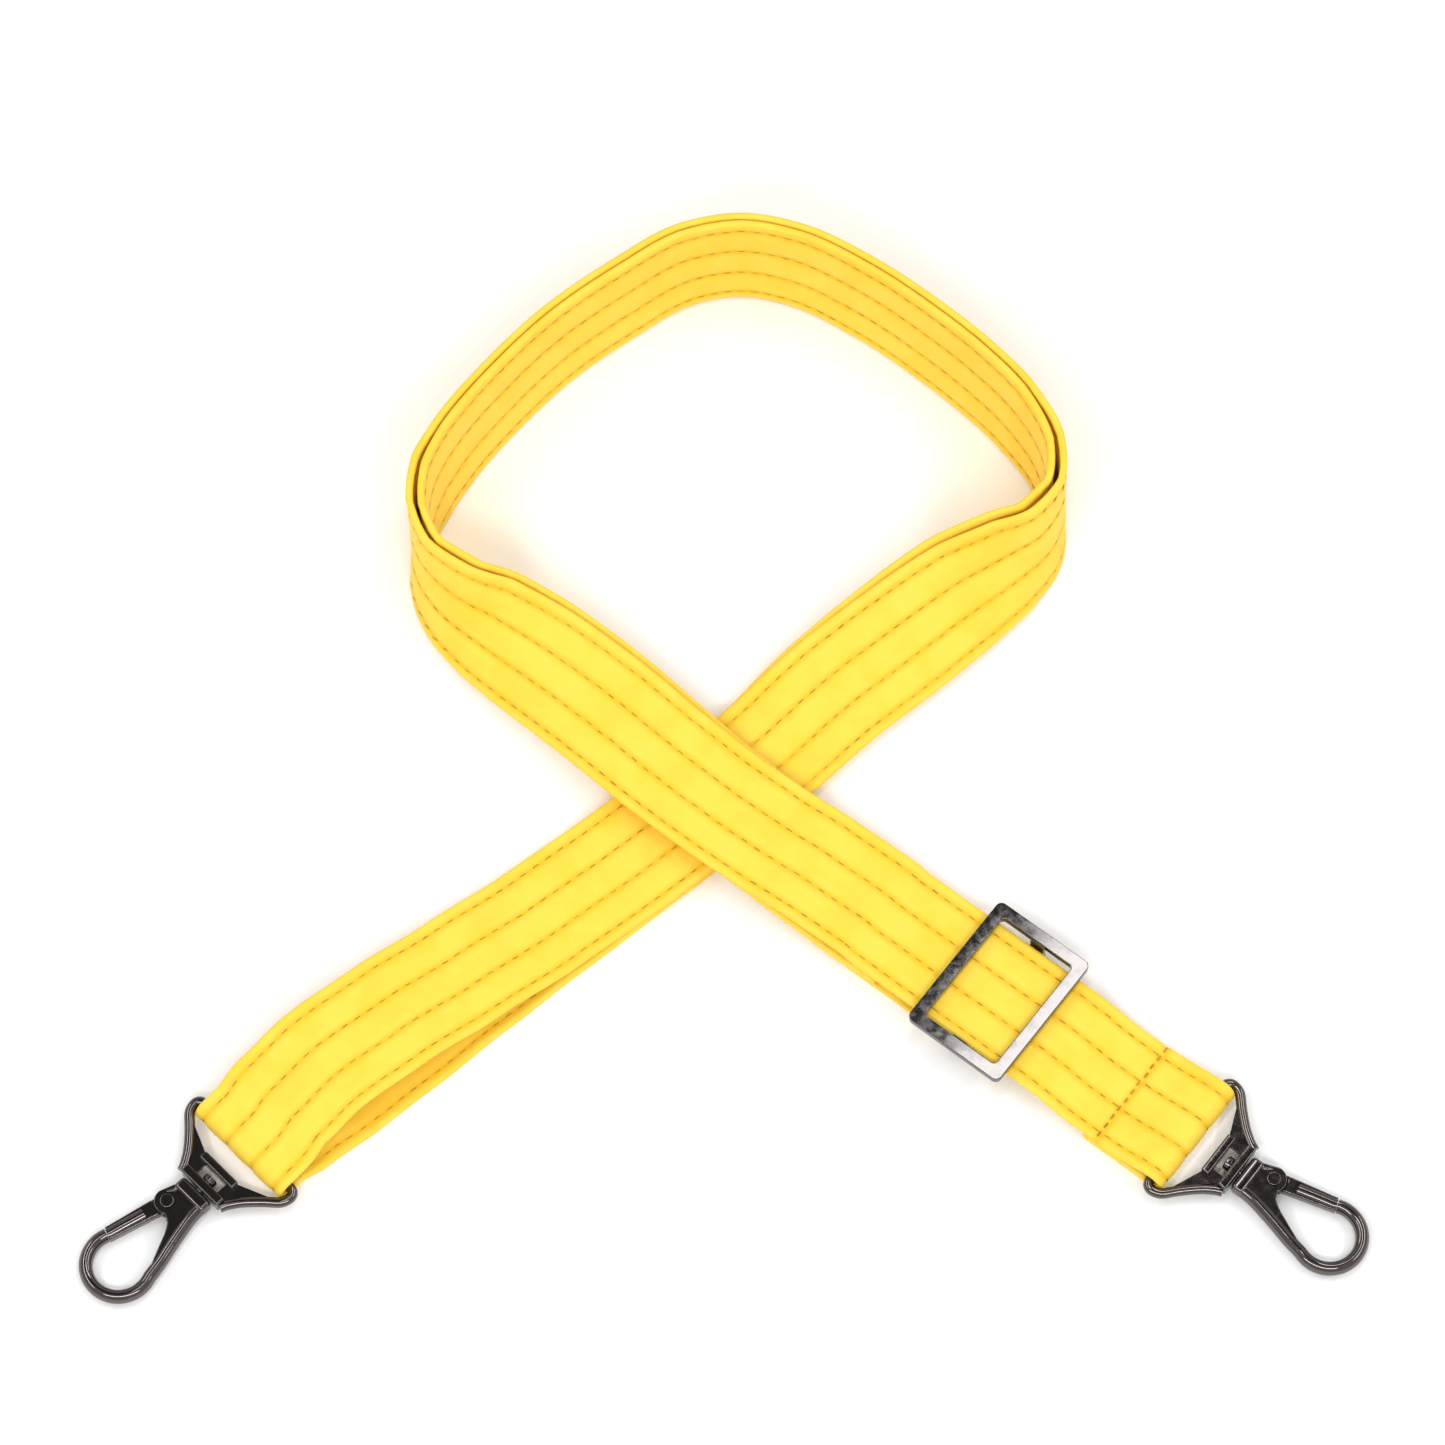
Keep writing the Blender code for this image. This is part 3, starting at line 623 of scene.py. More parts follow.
@dataclass
class StrapLayout:
    """The sizes that the belt, the slider and the hooks share, and the route that the belt takes."""

    shift: Vector
    belt_width: float = 38 * MM
    belt_thickness: float = 2.6 * MM
    sewn_thickness: float = 1.2 * MM
    tail_length: float = 25 * MM
    clearance: float = 0.3 * MM
    floor_gap: float = 0.4 * MM
    bar_radius: float = 1.65 * MM
    fold_clearance: float = 0.4 * MM
    centre_bar_radius: float = 1.3 * MM
    slider_back: float = 71.6 * MM
    slide_to_crossing: float = 30 * MM
    sewn_lap: float = 12 * MM
    right_turn: float = -37.5
    left_turn: float = -135.5
    right_bar: tuple[float, float] = (139.7, -136.6)
    left_bar: tuple[float, float] = (-145.6, -140.6)

    def __post_init__(self) -> None:
        """Works out the heights and directions that follow from the sizes."""
        self.right = Vector((*self.right_bar, 0)) * MM
        self.left = Vector((*self.left_bar, 0)) * MM
        self.slide = Vector((cos(radians(self.right_turn)), sin(radians(self.right_turn)), 0))
        self.slide_across = Vector((-self.slide.y, self.slide.x, 0))
        self.leaving = Vector((cos(radians(self.left_turn)), sin(radians(self.left_turn)), 0))
        self.leaving_across = Vector((self.leaving.y, -self.leaving.x, 0))
        self.bar_height = self.bar_radius + 2 * self.clearance + self.belt_thickness
        self.fold_radius = self.bar_radius + self.fold_clearance + self.belt_thickness / 2
        self.sewn_radius = self.centre_bar_radius + self.clearance + self.sewn_thickness
        self.centre_bar_height = self.floor_gap + self.sewn_radius
        self.belt_in_slider = (
            self.centre_bar_height + self.sewn_radius + self.clearance + self.belt_thickness / 2
        )
        self.slider_bottom = self.belt_in_slider + self.belt_thickness / 2 + self.clearance
        self.return_in_slider = (
            self.floor_gap + self.sewn_thickness + self.clearance + self.belt_thickness / 2
        )
        self.return_end = self.slide_to_crossing + self.sewn_radius + 2 * self.clearance
        self.sewn_length = self.return_end + self.sewn_lap

    def hook_place(self, side: Side, reach: float, thickness: float) -> Matrix:
        """Where a hook lies, from its own flat axes: +X runs from its bar to its tip."""
        rolled = side is Side.LEFT
        bar, turn = (self.left, self.left_turn) if rolled else (self.right, self.right_turn)
        pitch = asin((self.bar_height - thickness / 2 - self.floor_gap / 2) / reach)
        return (
            Matrix.Translation(bar + UP * self.bar_height + self.shift)
            @ Matrix.Rotation(radians(turn), 4, "Z")
            @ Matrix.Rotation(pitch, 4, "Y")
            @ Matrix.Rotation(radians(180 if rolled else 0), 4, "X")
        )

    def slider_place(self) -> Matrix:
        """Where the slider lies, from its own axes: +X runs along the belt to the right hook."""
        return Matrix.Translation(self.right - self.slide * self.slider_back + self.shift) @ Matrix.Rotation(
            radians(self.right_turn), 4, "Z"
        )

    def on_slide(self, back: float, upper: float, lower: float | None = None) -> Station:
        """A station on the slider's straight leg, back from the right bar, at its plies' heights."""
        lower = upper if lower is None else lower
        middle = self.right - self.slide * back + UP * (upper + lower) / 2
        return Station(middle, self.slide_across, (upper - lower) / 2)

    def fold(self, bar: Vector, along: Vector, across: Vector, start: float, end: float) -> list[Station]:
        """Stations round a hook's bar, by their angle in degrees from straight above it."""
        angles = [radians(start + (end - start) * k / 8) for k in range(9)]
        centre = bar + UP * self.bar_height
        return [Station(centre + self.fold_radius * (along * sin(a) + UP * cos(a)), across) for a in angles]

    def route(self) -> list[Station]:
        """Stations along ROUTE, halfway between the two plies."""
        found = []
        for i, (x, y, lean, lift, part, slip) in enumerate(ROUTE):
            before, after = ROUTE[max(i - 1, 0)], ROUTE[min(i + 1, len(ROUTE) - 1)]
            along = Vector((after[0] - before[0], after[1] - before[1], 0)).normalized()
            across = Vector((-along.y, along.x, 0)) * cos(radians(lean)) + UP * sin(radians(lean))
            half_apart = (self.belt_thickness + self.clearance + part * MM) / 2
            rest = (half_apart + self.belt_thickness / 2) * abs(cos(radians(lean))) + self.clearance
            middle = Vector((x * MM, y * MM, rest + lift * MM)) + across * self.belt_width / 2
            found.append(Station(middle, across, half_apart, slip / 2 * MM))
        return found

    @staticmethod
    def tangents(points: list[Vector]) -> list[Vector]:
        """Unit directions at each point, leaning towards its shorter neighbouring stretch."""
        steps = [b - a for a, b in zip(points, points[1:])]
        inside = [
            (a / a.length * b.length + b / b.length * a.length) / (a.length + b.length)
            for a, b in zip(steps, steps[1:])
        ]
        return [steps[0].normalized(), *inside, steps[-1].normalized()]

    def smooth(self, controls: list[Station], spacing: float) -> list[Station]:
        """Stations about spacing apart on a smooth curve through the controls."""
        leans = self.tangents([c.middle for c in controls])
        found = []
        for i, (start, end) in enumerate(zip(controls, controls[1:])):
            chord = (end.middle - start.middle).length
            steps = max(2, round(chord / spacing))
            for k in range(steps):
                t = k / steps
                middle = (
                    start.middle * (2 * t**3 - 3 * t**2 + 1) + end.middle * (3 * t**2 - 2 * t**3)
                    + leans[i] * chord * (t**3 - 2 * t**2 + t) + leans[i + 1] * chord * (t**3 - t**2)
                )
                ease = t * t * (3 - 2 * t)
                found.append(
                    Station(
                        middle,
                        start.across.lerp(end.across, t).normalized(),
                        start.half_apart + (end.half_apart - start.half_apart) * ease,
                        start.half_slip + (end.half_slip - start.half_slip) * ease,
                    )
                )
        return [*found, controls[-1]]

    @staticmethod
    def squared(stations: list[Station]) -> list[tuple[Vector, Vector, Vector]]:
        """(middle, across, outward normal) of each station, with across square to the run."""
        found = []
        for i, station in enumerate(stations):
            before, after = stations[max(i - 1, 0)].middle, stations[min(i + 1, len(stations) - 1)].middle
            along = (after - before).normalized()
            wide = (station.across - along * station.across.dot(along)).normalized()
            found.append((station.middle, wide, wide.cross(along)))
        return found

    def runs(self, spacing: float) -> tuple[list[Station], list[Station]]:
        """The outer run and the return run, both from the slider's side to the left hook.

        Args:
            spacing: the distance between stations in metres.

        Returns:
            The two runs' stations. The outer run starts with its tail under the right end.
        """
        far = self.slider_back + self.return_end
        shared = [self.on_slide(far + back * MM, self.belt_in_slider, self.return_in_slider) for back in (0, 6)]
        shared += self.route()
        for back, rise in ((6 * MM, 0.4 * MM), (0, 0)):
            place = self.left - self.leaving * back + UP * (self.bar_height + rise)
            shared.append(Station(place, self.leaving_across, self.fold_radius + rise))
        shared = self.smooth(shared, spacing)
        under = self.bar_height - self.fold_radius
        sewn = under + self.belt_thickness + self.clearance
        right = [self.on_slide(back, under) for back in (self.tail_length, 18 * MM, 11 * MM, 5 * MM)]
        right += self.fold(self.right, self.slide, self.slide_across, 180, 0)
        right += [self.on_slide(5 * MM, 7.4 * MM), self.on_slide(12 * MM, 5.5 * MM)]
        right += [self.on_slide(back, sewn) for back in (19 * MM, self.tail_length, 30 * MM)]
        right += [self.on_slide(36 * MM, 5.3 * MM), self.on_slide(42 * MM, 6.9 * MM)]
        right += [self.on_slide(back, self.belt_in_slider) for back in (48 * MM, 56 * MM, self.slider_back, far)]
        outer = self.smooth(right, spacing)[:-1]
        left = self.smooth(self.fold(self.left, self.leaving, self.leaving_across, 180, 0), spacing)
        inner = []
        for (middle, wide, normal), station in zip(self.squared(shared), shared):
            step = normal * station.half_apart + wide * station.half_slip
            outer.append(Station(middle + step, wide))
            inner.append(Station(middle - step, wide))
        return outer, inner[:-1] + left


# ---------------------------------------------------------------- belt
@dataclass
class StitchedBand:
    """One run of belt: a thick quilted strip with folded edges, and its rows of stitches."""

    layout: StrapLayout
    cloth: bpy.types.Material
    thread: bpy.types.Material
    rows: tuple[float, ...] = (-15.8 * MM, -6.0 * MM, 4.8 * MM, 15.0 * MM)
    spacing: float = 1.15 * MM
    stitch_pitch: float = 4.7 * MM
    stitch_length: float = 2.8 * MM
    stitch_radius: float = 0.21 * MM
    groove_depth: float = 0.34 * MM
    groove_width: float = 1.0 * MM
    needle_dip: float = 0.16 * MM
    crease_depth: float = 0.16 * MM
    cross_depth: float = 0.5 * MM
    cross_width: float = 1.1 * MM

    def section(self, width: float, thickness: float, faces: int = 38, turn: int = 5) -> list[tuple[float, float]]:
        """The strip's outline square to its run, as (across, side) with side from -1 under to 1 over.

        Args:
            width: the strip's width.
            thickness: its thickness, which rounds its edges.
            faces: how many steps cross each flat.
            turn: how many steps go round each edge.

        Returns:
            The points once round, starting at the middle of the upper face's first edge.
        """
        flat = width / 2 - thickness / 2
        points = [(-flat + 2 * flat * k / faces, 1.0) for k in range(faces + 1)]
        points += [
            (flat + thickness / 2 * sin(pi * k / turn), cos(pi * k / turn)) for k in range(1, turn)
        ]
        points += [(flat - 2 * flat * k / faces, -1.0) for k in range(faces + 1)]
        points += [
            (-flat - thickness / 2 * sin(pi * k / turn), -cos(pi * k / turn)) for k in range(1, turn)
        ]
        return points

    def relief(self, along: float, across: float, side: float, seed: float) -> tuple[float, float]:
        """How far the cloth sinks below its full thickness at one spot.

        Args:
            along: distance along the run.
            across: distance from its middle line.
            side: 1 on the upper face, -1 on the lower one.
            seed: shifts the creases, so that no two runs match.

        Returns:
            The depth in metres, and how much of a seam the spot is, from 0 to 1, which sets how much painted
            shade the cloth's colour takes there.
        """
        nearest = min(abs(across - row) for row in self.rows)
        groove = exp(-((nearest / self.groove_width) ** 2))
        beat = 0.5 + 0.5 * cos(2 * pi * along / self.stitch_pitch)
        spread = exp(-((nearest / (2.4 * self.groove_width)) ** 2))
        spot = Vector((along / (3.4 * MM), across / (9 * MM), seed + side))
        crease = 0.5 + 0.5 * noise.noise(spot)
        swell = 0.5 + 0.5 * noise.noise(Vector((along / (17 * MM), across / (12 * MM), seed - side)))
        depth = (
            self.groove_depth * groove + self.needle_dip * beat * spread
            + self.crease_depth * crease * (0.35 + 0.65 * spread) + 0.1 * MM * swell
        )
        return depth, groove

    def strip(
        self, name: str, stations: list[Station], width: float, thickness: float, seed: float,
        quilted: bool = True, crossing: float | None = None,
    ) -> tuple[bpy.types.Object, float]:
        """Builds one closed strip along its stations.

        Args:
            name: the piece's name.
            stations: where it runs.
            width: its width.
            thickness: its thickness.
            seed: shifts its creases.
            quilted: whether rows of stitches draw it in.
            crossing: how far along a seam goes across it, if one does.

        Returns:
            The object, and its length along the run.
        """
        section = self.section(width, thickness)
        frames = self.layout.squared(stations)
        shape = bmesh.new()
        bmesh.ops.create_grid(shape, x_segments=len(section), y_segments=len(frames) - 1, size=0.5)
        shape.verts.ensure_lookup_table()
        around = len(section)
        cloth_map = shape.loops.layers.uv.new("cloth")
        # per-vertex weight of the painted groove shade that the cloth material mixes in
        groove_shade_layer = shape.verts.layers.float.new("seam")
        travelled = [0.0]
        for one, two in zip(frames, frames[1:]):
            travelled.append(travelled[-1] + (two[0] - one[0]).length)
        girth = [0.0]
        for k in range(around):
            a, b = section[k], section[(k + 1) % around]
            girth.append(girth[-1] + max(abs(b[0] - a[0]), 0.5 * MM))
        spots = {}
        for vert in shape.verts:
            i = round((vert.co.y + 0.5) * (len(frames) - 1))
            k = round((vert.co.x + 0.5) * around)
            spots[vert] = (i, k)
        for face in shape.faces:
            for loop in face.loops:
                i, k = spots[loop.vert]
                loop[cloth_map].uv = (travelled[i], girth[k])
        for vert, (i, k) in spots.items():
            middle, wide, normal = frames[i]
            across, side = section[k % around]
            depth, seam = 0.0, 0.0
            if quilted and abs(side) == 1.0:
                depth, seam = self.relief(travelled[i], across, side, seed)
            if crossing is not None:
                pull = exp(-(((travelled[i] - crossing) / self.cross_width) ** 2))
                # the cross seam's crease sinks the upper face and takes the painted seam shade
                if side > 0:
                    depth, seam = depth + self.cross_depth * pull, max(seam, pull)
                across *= 1.012 if travelled[i] < crossing else 1.0 - 0.012 * pull
            pinch = 1.0 - 0.55 * exp(-((travelled[i] / (1.2 * MM)) ** 2))
            rise = side * (thickness / 2 - depth) * pinch
            vert.co = middle + self.layout.shift + wide * across + normal * rise
            vert[groove_shade_layer] = seam
        bmesh.ops.remove_doubles(shape, verts=shape.verts, dist=0.00001)
        bmesh.ops.holes_fill(shape, edges=[e for e in shape.edges if e.is_boundary], sides=0)
        return finished(name, shape, self.cloth, 60.0), travelled[-1]

    def stitches(
        self, name: str, stations: list[Station], thickness: float, sides: tuple[int, ...] = (1, -1)
    ) -> bpy.types.Object:
        """Builds every visible stitch of one run as a small bead of thread, in one mesh.

        Args:
            name: the piece's name.
            stations: where the run goes.
            thickness: the strip's thickness.
            sides: 1 for its upper face, -1 for its lower one.

        Returns:
            The object.
        """
        frames = self.layout.squared(stations)
        travelled = [0.0]
        for one, two in zip(frames, frames[1:]):
            travelled.append(travelled[-1] + (two[0] - one[0]).length)
        shape = bmesh.new()
        i = 0
        count = floor(travelled[-1] / self.stitch_pitch)
        for n in range(1, count):
            at = (n + 0.5) * self.stitch_pitch
            while travelled[i + 1] < at:
                i += 1
            share = (at - travelled[i]) / (travelled[i + 1] - travelled[i])
            (middle, wide, normal), ahead = frames[i], frames[i + 1]
            spot = middle.lerp(ahead[0], share)
            along = (ahead[0] - middle).normalized()
            for side in sides:
                for row in self.rows:
                    wobble = 0.22 * MM * noise.noise(Vector((n * 1.7, row * 900, side)))
                    lift = thickness / 2 - self.groove_depth - 0.3 * self.stitch_radius - 0.05 * MM
                    centre = spot + self.layout.shift + wide * (row + wobble) + normal * side * lift
                    slant = 0.09 * noise.noise(Vector((n * 2.3, row * 700, 5.0 + side)))
                    run = (along + wide * slant).normalized()
                    cross = normal.cross(run).normalized()
                    axes = Matrix(
                        (run * self.stitch_length / 2, cross * self.stitch_radius, normal * self.stitch_radius)
                    )
                    bmesh.ops.create_icosphere(
                        shape, subdivisions=1, radius=1.0,
                        matrix=Matrix.Translation(centre) @ axes.transposed().to_4x4(),
                    )
        return finished(name, shape, self.thread, 80.0)


@dataclass
class Belt:
    """The belt's two runs, the seam that holds its tail, and their threads."""

    layout: StrapLayout
    band: StitchedBand
    cross_seam_back: float = 21 * MM
    cross_pitch: float = 3.4 * MM
    cross_stitch: tuple[float, float, float] = (1.25 * MM, 0.34 * MM, 0.3 * MM)  # half sizes

    def build(self) -> None:
        layout = self.layout
        outer, inner = layout.runs(self.band.spacing)
        crossing = layout.tail_length + pi * layout.fold_radius + self.cross_seam_back
        for name, stations, seed in (("outer_run", outer, 3.0), ("return_run", inner, 41.0)):
            strip, length = self.band.strip(
                name + "_cloth", stations, layout.belt_width, layout.belt_thickness, seed,
                crossing=crossing if name == "outer_run" else None,
            )
            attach(strip, "belt")
            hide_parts(name + "_cover", name + "_core")
            thread = self.band.stitches(name + "_thread", stations, layout.belt_thickness)
            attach(thread, "belt")
            LOG.info("%s: %.0f mm of belt, %d faces", name, length / MM, len(strip.data.polygons))
        seam = self.cross_seam()
        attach(seam, "belt")
        LOG.info("cross seam: %d faces", len(seam.data.polygons))

    def cross_seam(self) -> bpy.types.Object:
        """The row of stitches across the right end that sews its tail down."""
        layout = self.layout
        shape = bmesh.new()
        under = layout.bar_height - layout.fold_radius
        top = under + 1.5 * layout.belt_thickness + layout.clearance
        long, wide, high = self.cross_stitch
        for n in range(int(layout.belt_width / self.cross_pitch)):
            across = -layout.belt_width / 2 + (n + 0.75) * self.cross_pitch
            wobble = 0.35 * MM * noise.noise(Vector((n * 0.9, 2.0, 7.0)))
            spot = layout.on_slide(self.cross_seam_back + wobble, top - 0.2 * MM).middle + layout.shift
            spot += layout.slide_across * across
            axes = Matrix((layout.slide_across * long, layout.slide * wide, UP * high))
            bmesh.ops.create_icosphere(
                shape, subdivisions=1, radius=1.0, matrix=Matrix.Translation(spot) @ axes.transposed().to_4x4()
            )
        return finished("cross_seam_thread", shape, self.band.thread, 80.0)


# ---------------------------------------------------------------- slider
@dataclass
class Slider:
    """The flat slider: a polished frame, its dropped centre bar, and the belt end sewn round that bar."""

    layout: StrapLayout
    metal: bpy.types.Material
    band: StitchedBand
    length: float = 34.6 * MM
    rail: float = 4.0 * MM
    thickness: float = 2.8 * MM
    window_width: float = 39.9 * MM
    lug_length: float = 5.0 * MM
    lug_inward: float = 0.5 * MM
    lug_thickness: float = 1.7 * MM

    def build(self) -> None:
        """Builds the slider's pieces in its own axes and settles them on the belt."""
        layout = self.layout
        place = layout.slider_place()
        half_long, half_wide = self.length / 2, self.window_width / 2 + self.rail
        bottom, top = layout.slider_bottom, layout.slider_bottom + self.thickness
        frame = plate(
            "slider_plate", rounded(half_long, half_wide, 2.1 * MM), bottom, top, self.metal
        )
        window = plate(
            "window_tool", rounded(half_long - self.rail, self.window_width / 2, 1.4 * MM),
            bottom - MM, top + MM, self.metal,
        )
        combine(frame, window, Operation.CUT)
        tools = [window]
        for side in (-1, 1):
            inside = side * (self.window_width / 2 - self.lug_inward)
            outside = inside + side * self.lug_thickness
            lug = block(
                f"lug_tool_{side}",
                (-self.lug_length / 2, min(inside, outside), layout.floor_gap + 0.6 * MM),
                (self.lug_length / 2, max(inside, outside), top - 0.35 * MM),
                self.metal,
            )
            combine(frame, lug, Operation.JOIN)
            tools.append(lug)
        reach = self.window_width / 2 - self.lug_inward + self.lug_thickness - 0.3 * MM
        height = layout.centre_bar_height
        bore = rod(
            "bore_tool", layout.centre_bar_radius + layout.clearance,
            (0, -reach - 4 * MM, height), (0, reach + 4 * MM, height), self.metal,
        )
        combine(frame, bore, Operation.CUT)
        tools.append(bore)
        round_edges(frame, 0.42 * MM)
        settle(frame, place, tuple(tools))
        bar = rod(
            "slider_bar", layout.centre_bar_radius, (0, -reach, height), (0, reach, height), self.metal, 0.3 * MM
        )
        settle(bar, place)
        for piece, node in ((frame, "slider_frame"), (bar, "slider_centre_bar")):
            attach(piece, "slider")
            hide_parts(node)
        self.sewn_end(place)
        LOG.info("slider: %d faces", len(frame.data.polygons))

    def sewn_end(self, place: Matrix) -> None:
        """The thinned belt end that goes round the centre bar and lies under the return run."""
        layout = self.layout
        middle = layout.sewn_radius - layout.sewn_thickness / 2
        height = layout.centre_bar_height
        spots = [(-back, height - middle) for back in (layout.sewn_length, layout.return_end, 12 * MM, 3 * MM)]
        for k in range(10):
            a = radians(180 - 20 * k)
            spots.append((middle * sin(a), height + middle * cos(a)))
        spots.append((-2.4 * MM, height + middle))
        turn = place.to_3x3()
        stations = [
            Station(place @ Vector((x, 0, z)) - layout.shift, turn @ Vector((0, 1, 0))) for x, z in spots
        ]
        width = self.window_width - 2 * self.lug_inward - 3 * layout.clearance
        strip, length = self.band.strip(
            "sewn_end_cloth", layout.smooth(stations, 1.0 * MM), width, layout.sewn_thickness, 9.0, quilted=False
        )
        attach(strip, "slider")
        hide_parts("slider_sewn_end")


# ---------------------------------------------------------------- hooks
@dataclass
class SnapHook:
    """One swivel snap hook: D-loop, swivel rivet, hook body with its pin and spring, and gate."""

    side: Side
    layout: StrapLayout
    metal: bpy.types.Material
    steel: bpy.types.Material
    loop_arm: float = 3.3 * MM
    corner_bend: float = 2.1 * MM
    web_thickness: float = 1.9 * MM
    upper_plate: tuple[float, float] = (10.6 * MM, 13.1 * MM)
    lower_plate: tuple[float, float] = (17.0 * MM, 20.0 * MM)
    plate_thickness: float = 6.0 * MM
    window_half_width: float = 4.6 * MM
    eye_centre: float = 53.3 * MM
    eye_outer: float = 12.3 * MM
    eye_inner: float = 7.9 * MM
    eye_apex: float = 35.6 * MM
    body_thickness: float = 5.6 * MM
    fork_thickness: float = 4.2 * MM
    body_start: float = 20.6 * MM
    body_half_width: float = 6.2 * MM
    nose_angle: float = 111.0
    pivot: tuple[float, float] = (29.6 * MM, 3.9 * MM)
    gate_thickness: float = 4.4 * MM
    gate_tongue: float = 2.0 * MM
    gate_root: float = 3.1 * MM
    cheek_radius: float = 4.1 * MM
    nose_gap: float = 0.35 * MM
    pin_radius: float = 1.1 * MM
    pin_head_radius: float = 2.2 * MM
    post_radius: float = 1.3 * MM
    head_radius: float = 2.3 * MM
    head_length: float = 2.0 * MM
    post_depth: float = 3.6 * MM
    spring_wire: float = 0.3 * MM

    def build(self) -> None:
        """Builds every piece in the hook's own axes, settles it, and says which body it rides on."""
        place = self.layout.hook_place(self.side, self.eye_centre + self.eye_outer, self.body_thickness)
        label = self.side.value
        for piece, tools, body, node, slot in (
            (*self.d_loop(), "_loop", "_d_loop", "gunmetal"),
            (*self.rivet(), "_hook", "_swivel_rivet", "gunmetal"),
            (*self.body(), "_hook", "_hook_body", "gunmetal"),
            (*self.pin(), "_hook", "_gate_pin", "gunmetal"),
            (*self.spring(), "_hook", "_gate_spring", "spring_steel"),
            (*self.gate(), "_gate_arm", "_gate", "gunmetal"),
        ):
            settle(piece, place, tools)
            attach(piece, label + body)
            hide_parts(label + node)
            LOG.info("%s: %d faces", piece.name, len(piece.data.polygons))

    def name(self, word: str) -> str:
        """A piece's name with the side's before it."""
        return f"{self.side.value}_{word}"

    def d_loop(self) -> tuple[bpy.types.Object, tuple[bpy.types.Object, ...]]:
        """The D-loop: one round wire for bar and arms, closing on a thin web, a window and a bored base."""
        half = (self.layout.belt_width + 1.0 * MM) / 2
        radius = self.layout.bar_radius
        aside = half + self.loop_arm - radius
        bend = self.corner_bend
        (upper, upper_end), (lower, base) = self.upper_plate, self.lower_plate
        arm = flowing([
            (bend, aside), (3.6 * MM, aside - 0.25 * MM), (5.6 * MM, half + 0.3 * MM),
            (8.8 * MM, half - 3.2 * MM), (13.2 * MM, half - 7.4 * MM), (17.0 * MM, half - 10.1 * MM),
            (base - 0.6 * MM, half - 11.2 * MM),
        ])
        corner = arc((bend, aside - bend), bend, 180, 90, 10)
        half_path = corner + arm[1:]
        path = [(x, -y) for x, y in reversed(half_path)] + half_path
        inner = [(upper, 7.4 * MM), (6.2 * MM, half - 1.6 * MM)]
        one_side = inner + [point for point in arm if point[0] > 6.2 * MM]
        outline = one_side + [(x, -y) for x, y in reversed(one_side)]
        web = self.web_thickness / 2
        loop = wire(self.name("dee_loop"), path, (radius, radius), radius, self.metal)
        joined = [plate(self.name("web_tool"), outline, -web, web, self.metal)]
        for word, low, high, reach, tall in (
            ("upper", upper - 0.3 * MM, upper_end, 7.2 * MM, 2.5 * MM),
            ("base", lower, base + 0.1 * MM, 8 * MM, self.plate_thickness / 2),
        ):
            joined.append(
                block(self.name(word + "_tool"), (low, -reach, -tall), (high, reach, tall), self.metal, 0.6 * MM)
            )
        window = block(
            self.name("window_tool"), (upper_end, -self.window_half_width, -5 * MM),
            (lower + 0.1 * MM, self.window_half_width, 5 * MM), self.metal,
        )
        bore = rod(
            self.name("post_tool"), self.post_radius + self.layout.clearance, (15 * MM, 0, 0),
            (base + 2 * MM, 0, 0), self.metal,
        )
        for tool in joined:
            combine(loop, tool, Operation.JOIN)
        combine(loop, window, Operation.CUT)
        combine(loop, bore, Operation.CUT)
        return loop, (*joined, window, bore)

    def rivet(self) -> tuple[bpy.types.Object, tuple[bpy.types.Object, ...]]:
        """The swivel rivet: its head sits in the window and its post is fixed in the hook body."""
        head_end = self.lower_plate[0] - self.layout.clearance
        head = rod(
            self.name("rivet"), self.head_radius, (head_end - self.head_length, 0, 0), (head_end, 0, 0),
            self.metal, 0.4 * MM,
        )
        post = rod(
            self.name("rivet_tool"), self.post_radius, (head_end - MM, 0, 0),
            (self.body_start + self.post_depth, 0, 0), self.metal,
        )
        combine(head, post, Operation.JOIN)
        return head, (post,)

    def body(self) -> tuple[bpy.types.Object, tuple[bpy.types.Object, ...]]:
        """The hook body: a collar, a sunken forked web and a rounded bar that goes round the teardrop eye."""
        centre = (self.eye_centre, 0.0)
        px, py = self.pivot
        start, half_wide = self.body_start, self.body_half_width
        middle = (self.eye_inner + self.eye_outer) / 2
        outline = [(start + MM, -half_wide + MM), (27 * MM, -5.7 * MM)]
        outline += [(33.6 * MM, -6.8 * MM), (41 * MM, -8.4 * MM)]
        outline += arc(centre, middle + 0.8 * MM, -112, -70, 12)
        outline += arc(centre, middle - 0.8 * MM, -70, -112, 12)
        outline += [
            (self.eye_apex + 1.8 * MM, -3.1 * MM), (self.eye_apex, -2.1 * MM), (34.0 * MM, -0.9 * MM)
        ]
        outline += arc(self.pivot, self.cheek_radius, -35, 100, 20)
        outline += [(start + MM, half_wide - MM)]
        web = self.fork_thickness / 2
        body = plate(self.name("hook"), outline, -web, web, self.metal, 0.35 * MM, 3)
        half = self.body_thickness / 2
        bend = flowing([
            (start + 1.6 * MM, -4.2 * MM), (28 * MM, -4.6 * MM), (33.5 * MM, -5.7 * MM), (39 * MM, -7.0 * MM),
            (44.4 * MM, -8.4 * MM), arc(centre, middle, -112, 0, 1)[0],
        ])
        bar = wire(
            self.name("bar_tool"), bend[:-1] + arc(centre, middle, -112, self.nose_angle, 72),
            (2.1 * MM, (self.eye_outer - self.eye_inner) / 2), half - 0.15 * MM, self.metal,
        )
        collar = block(
            self.name("collar_tool"), (start, -half_wide, -half), (start + 4.4 * MM, half_wide, half),
            self.metal, 1.3 * MM,
        )
        shoulder = wire(
            self.name("shoulder_tool"),
            [(start + 2.6 * MM, 4.6 * MM), (25.6 * MM, 4.9 * MM), (27.6 * MM, 6.2 * MM)],
            (1.5 * MM, 0.8 * MM), half - 0.3 * MM, self.metal,
        )
        slot = self.gate_tongue / 2 + self.layout.clearance
        post = self.post_radius + self.layout.clearance
        pin = self.pin_radius + self.layout.clearance
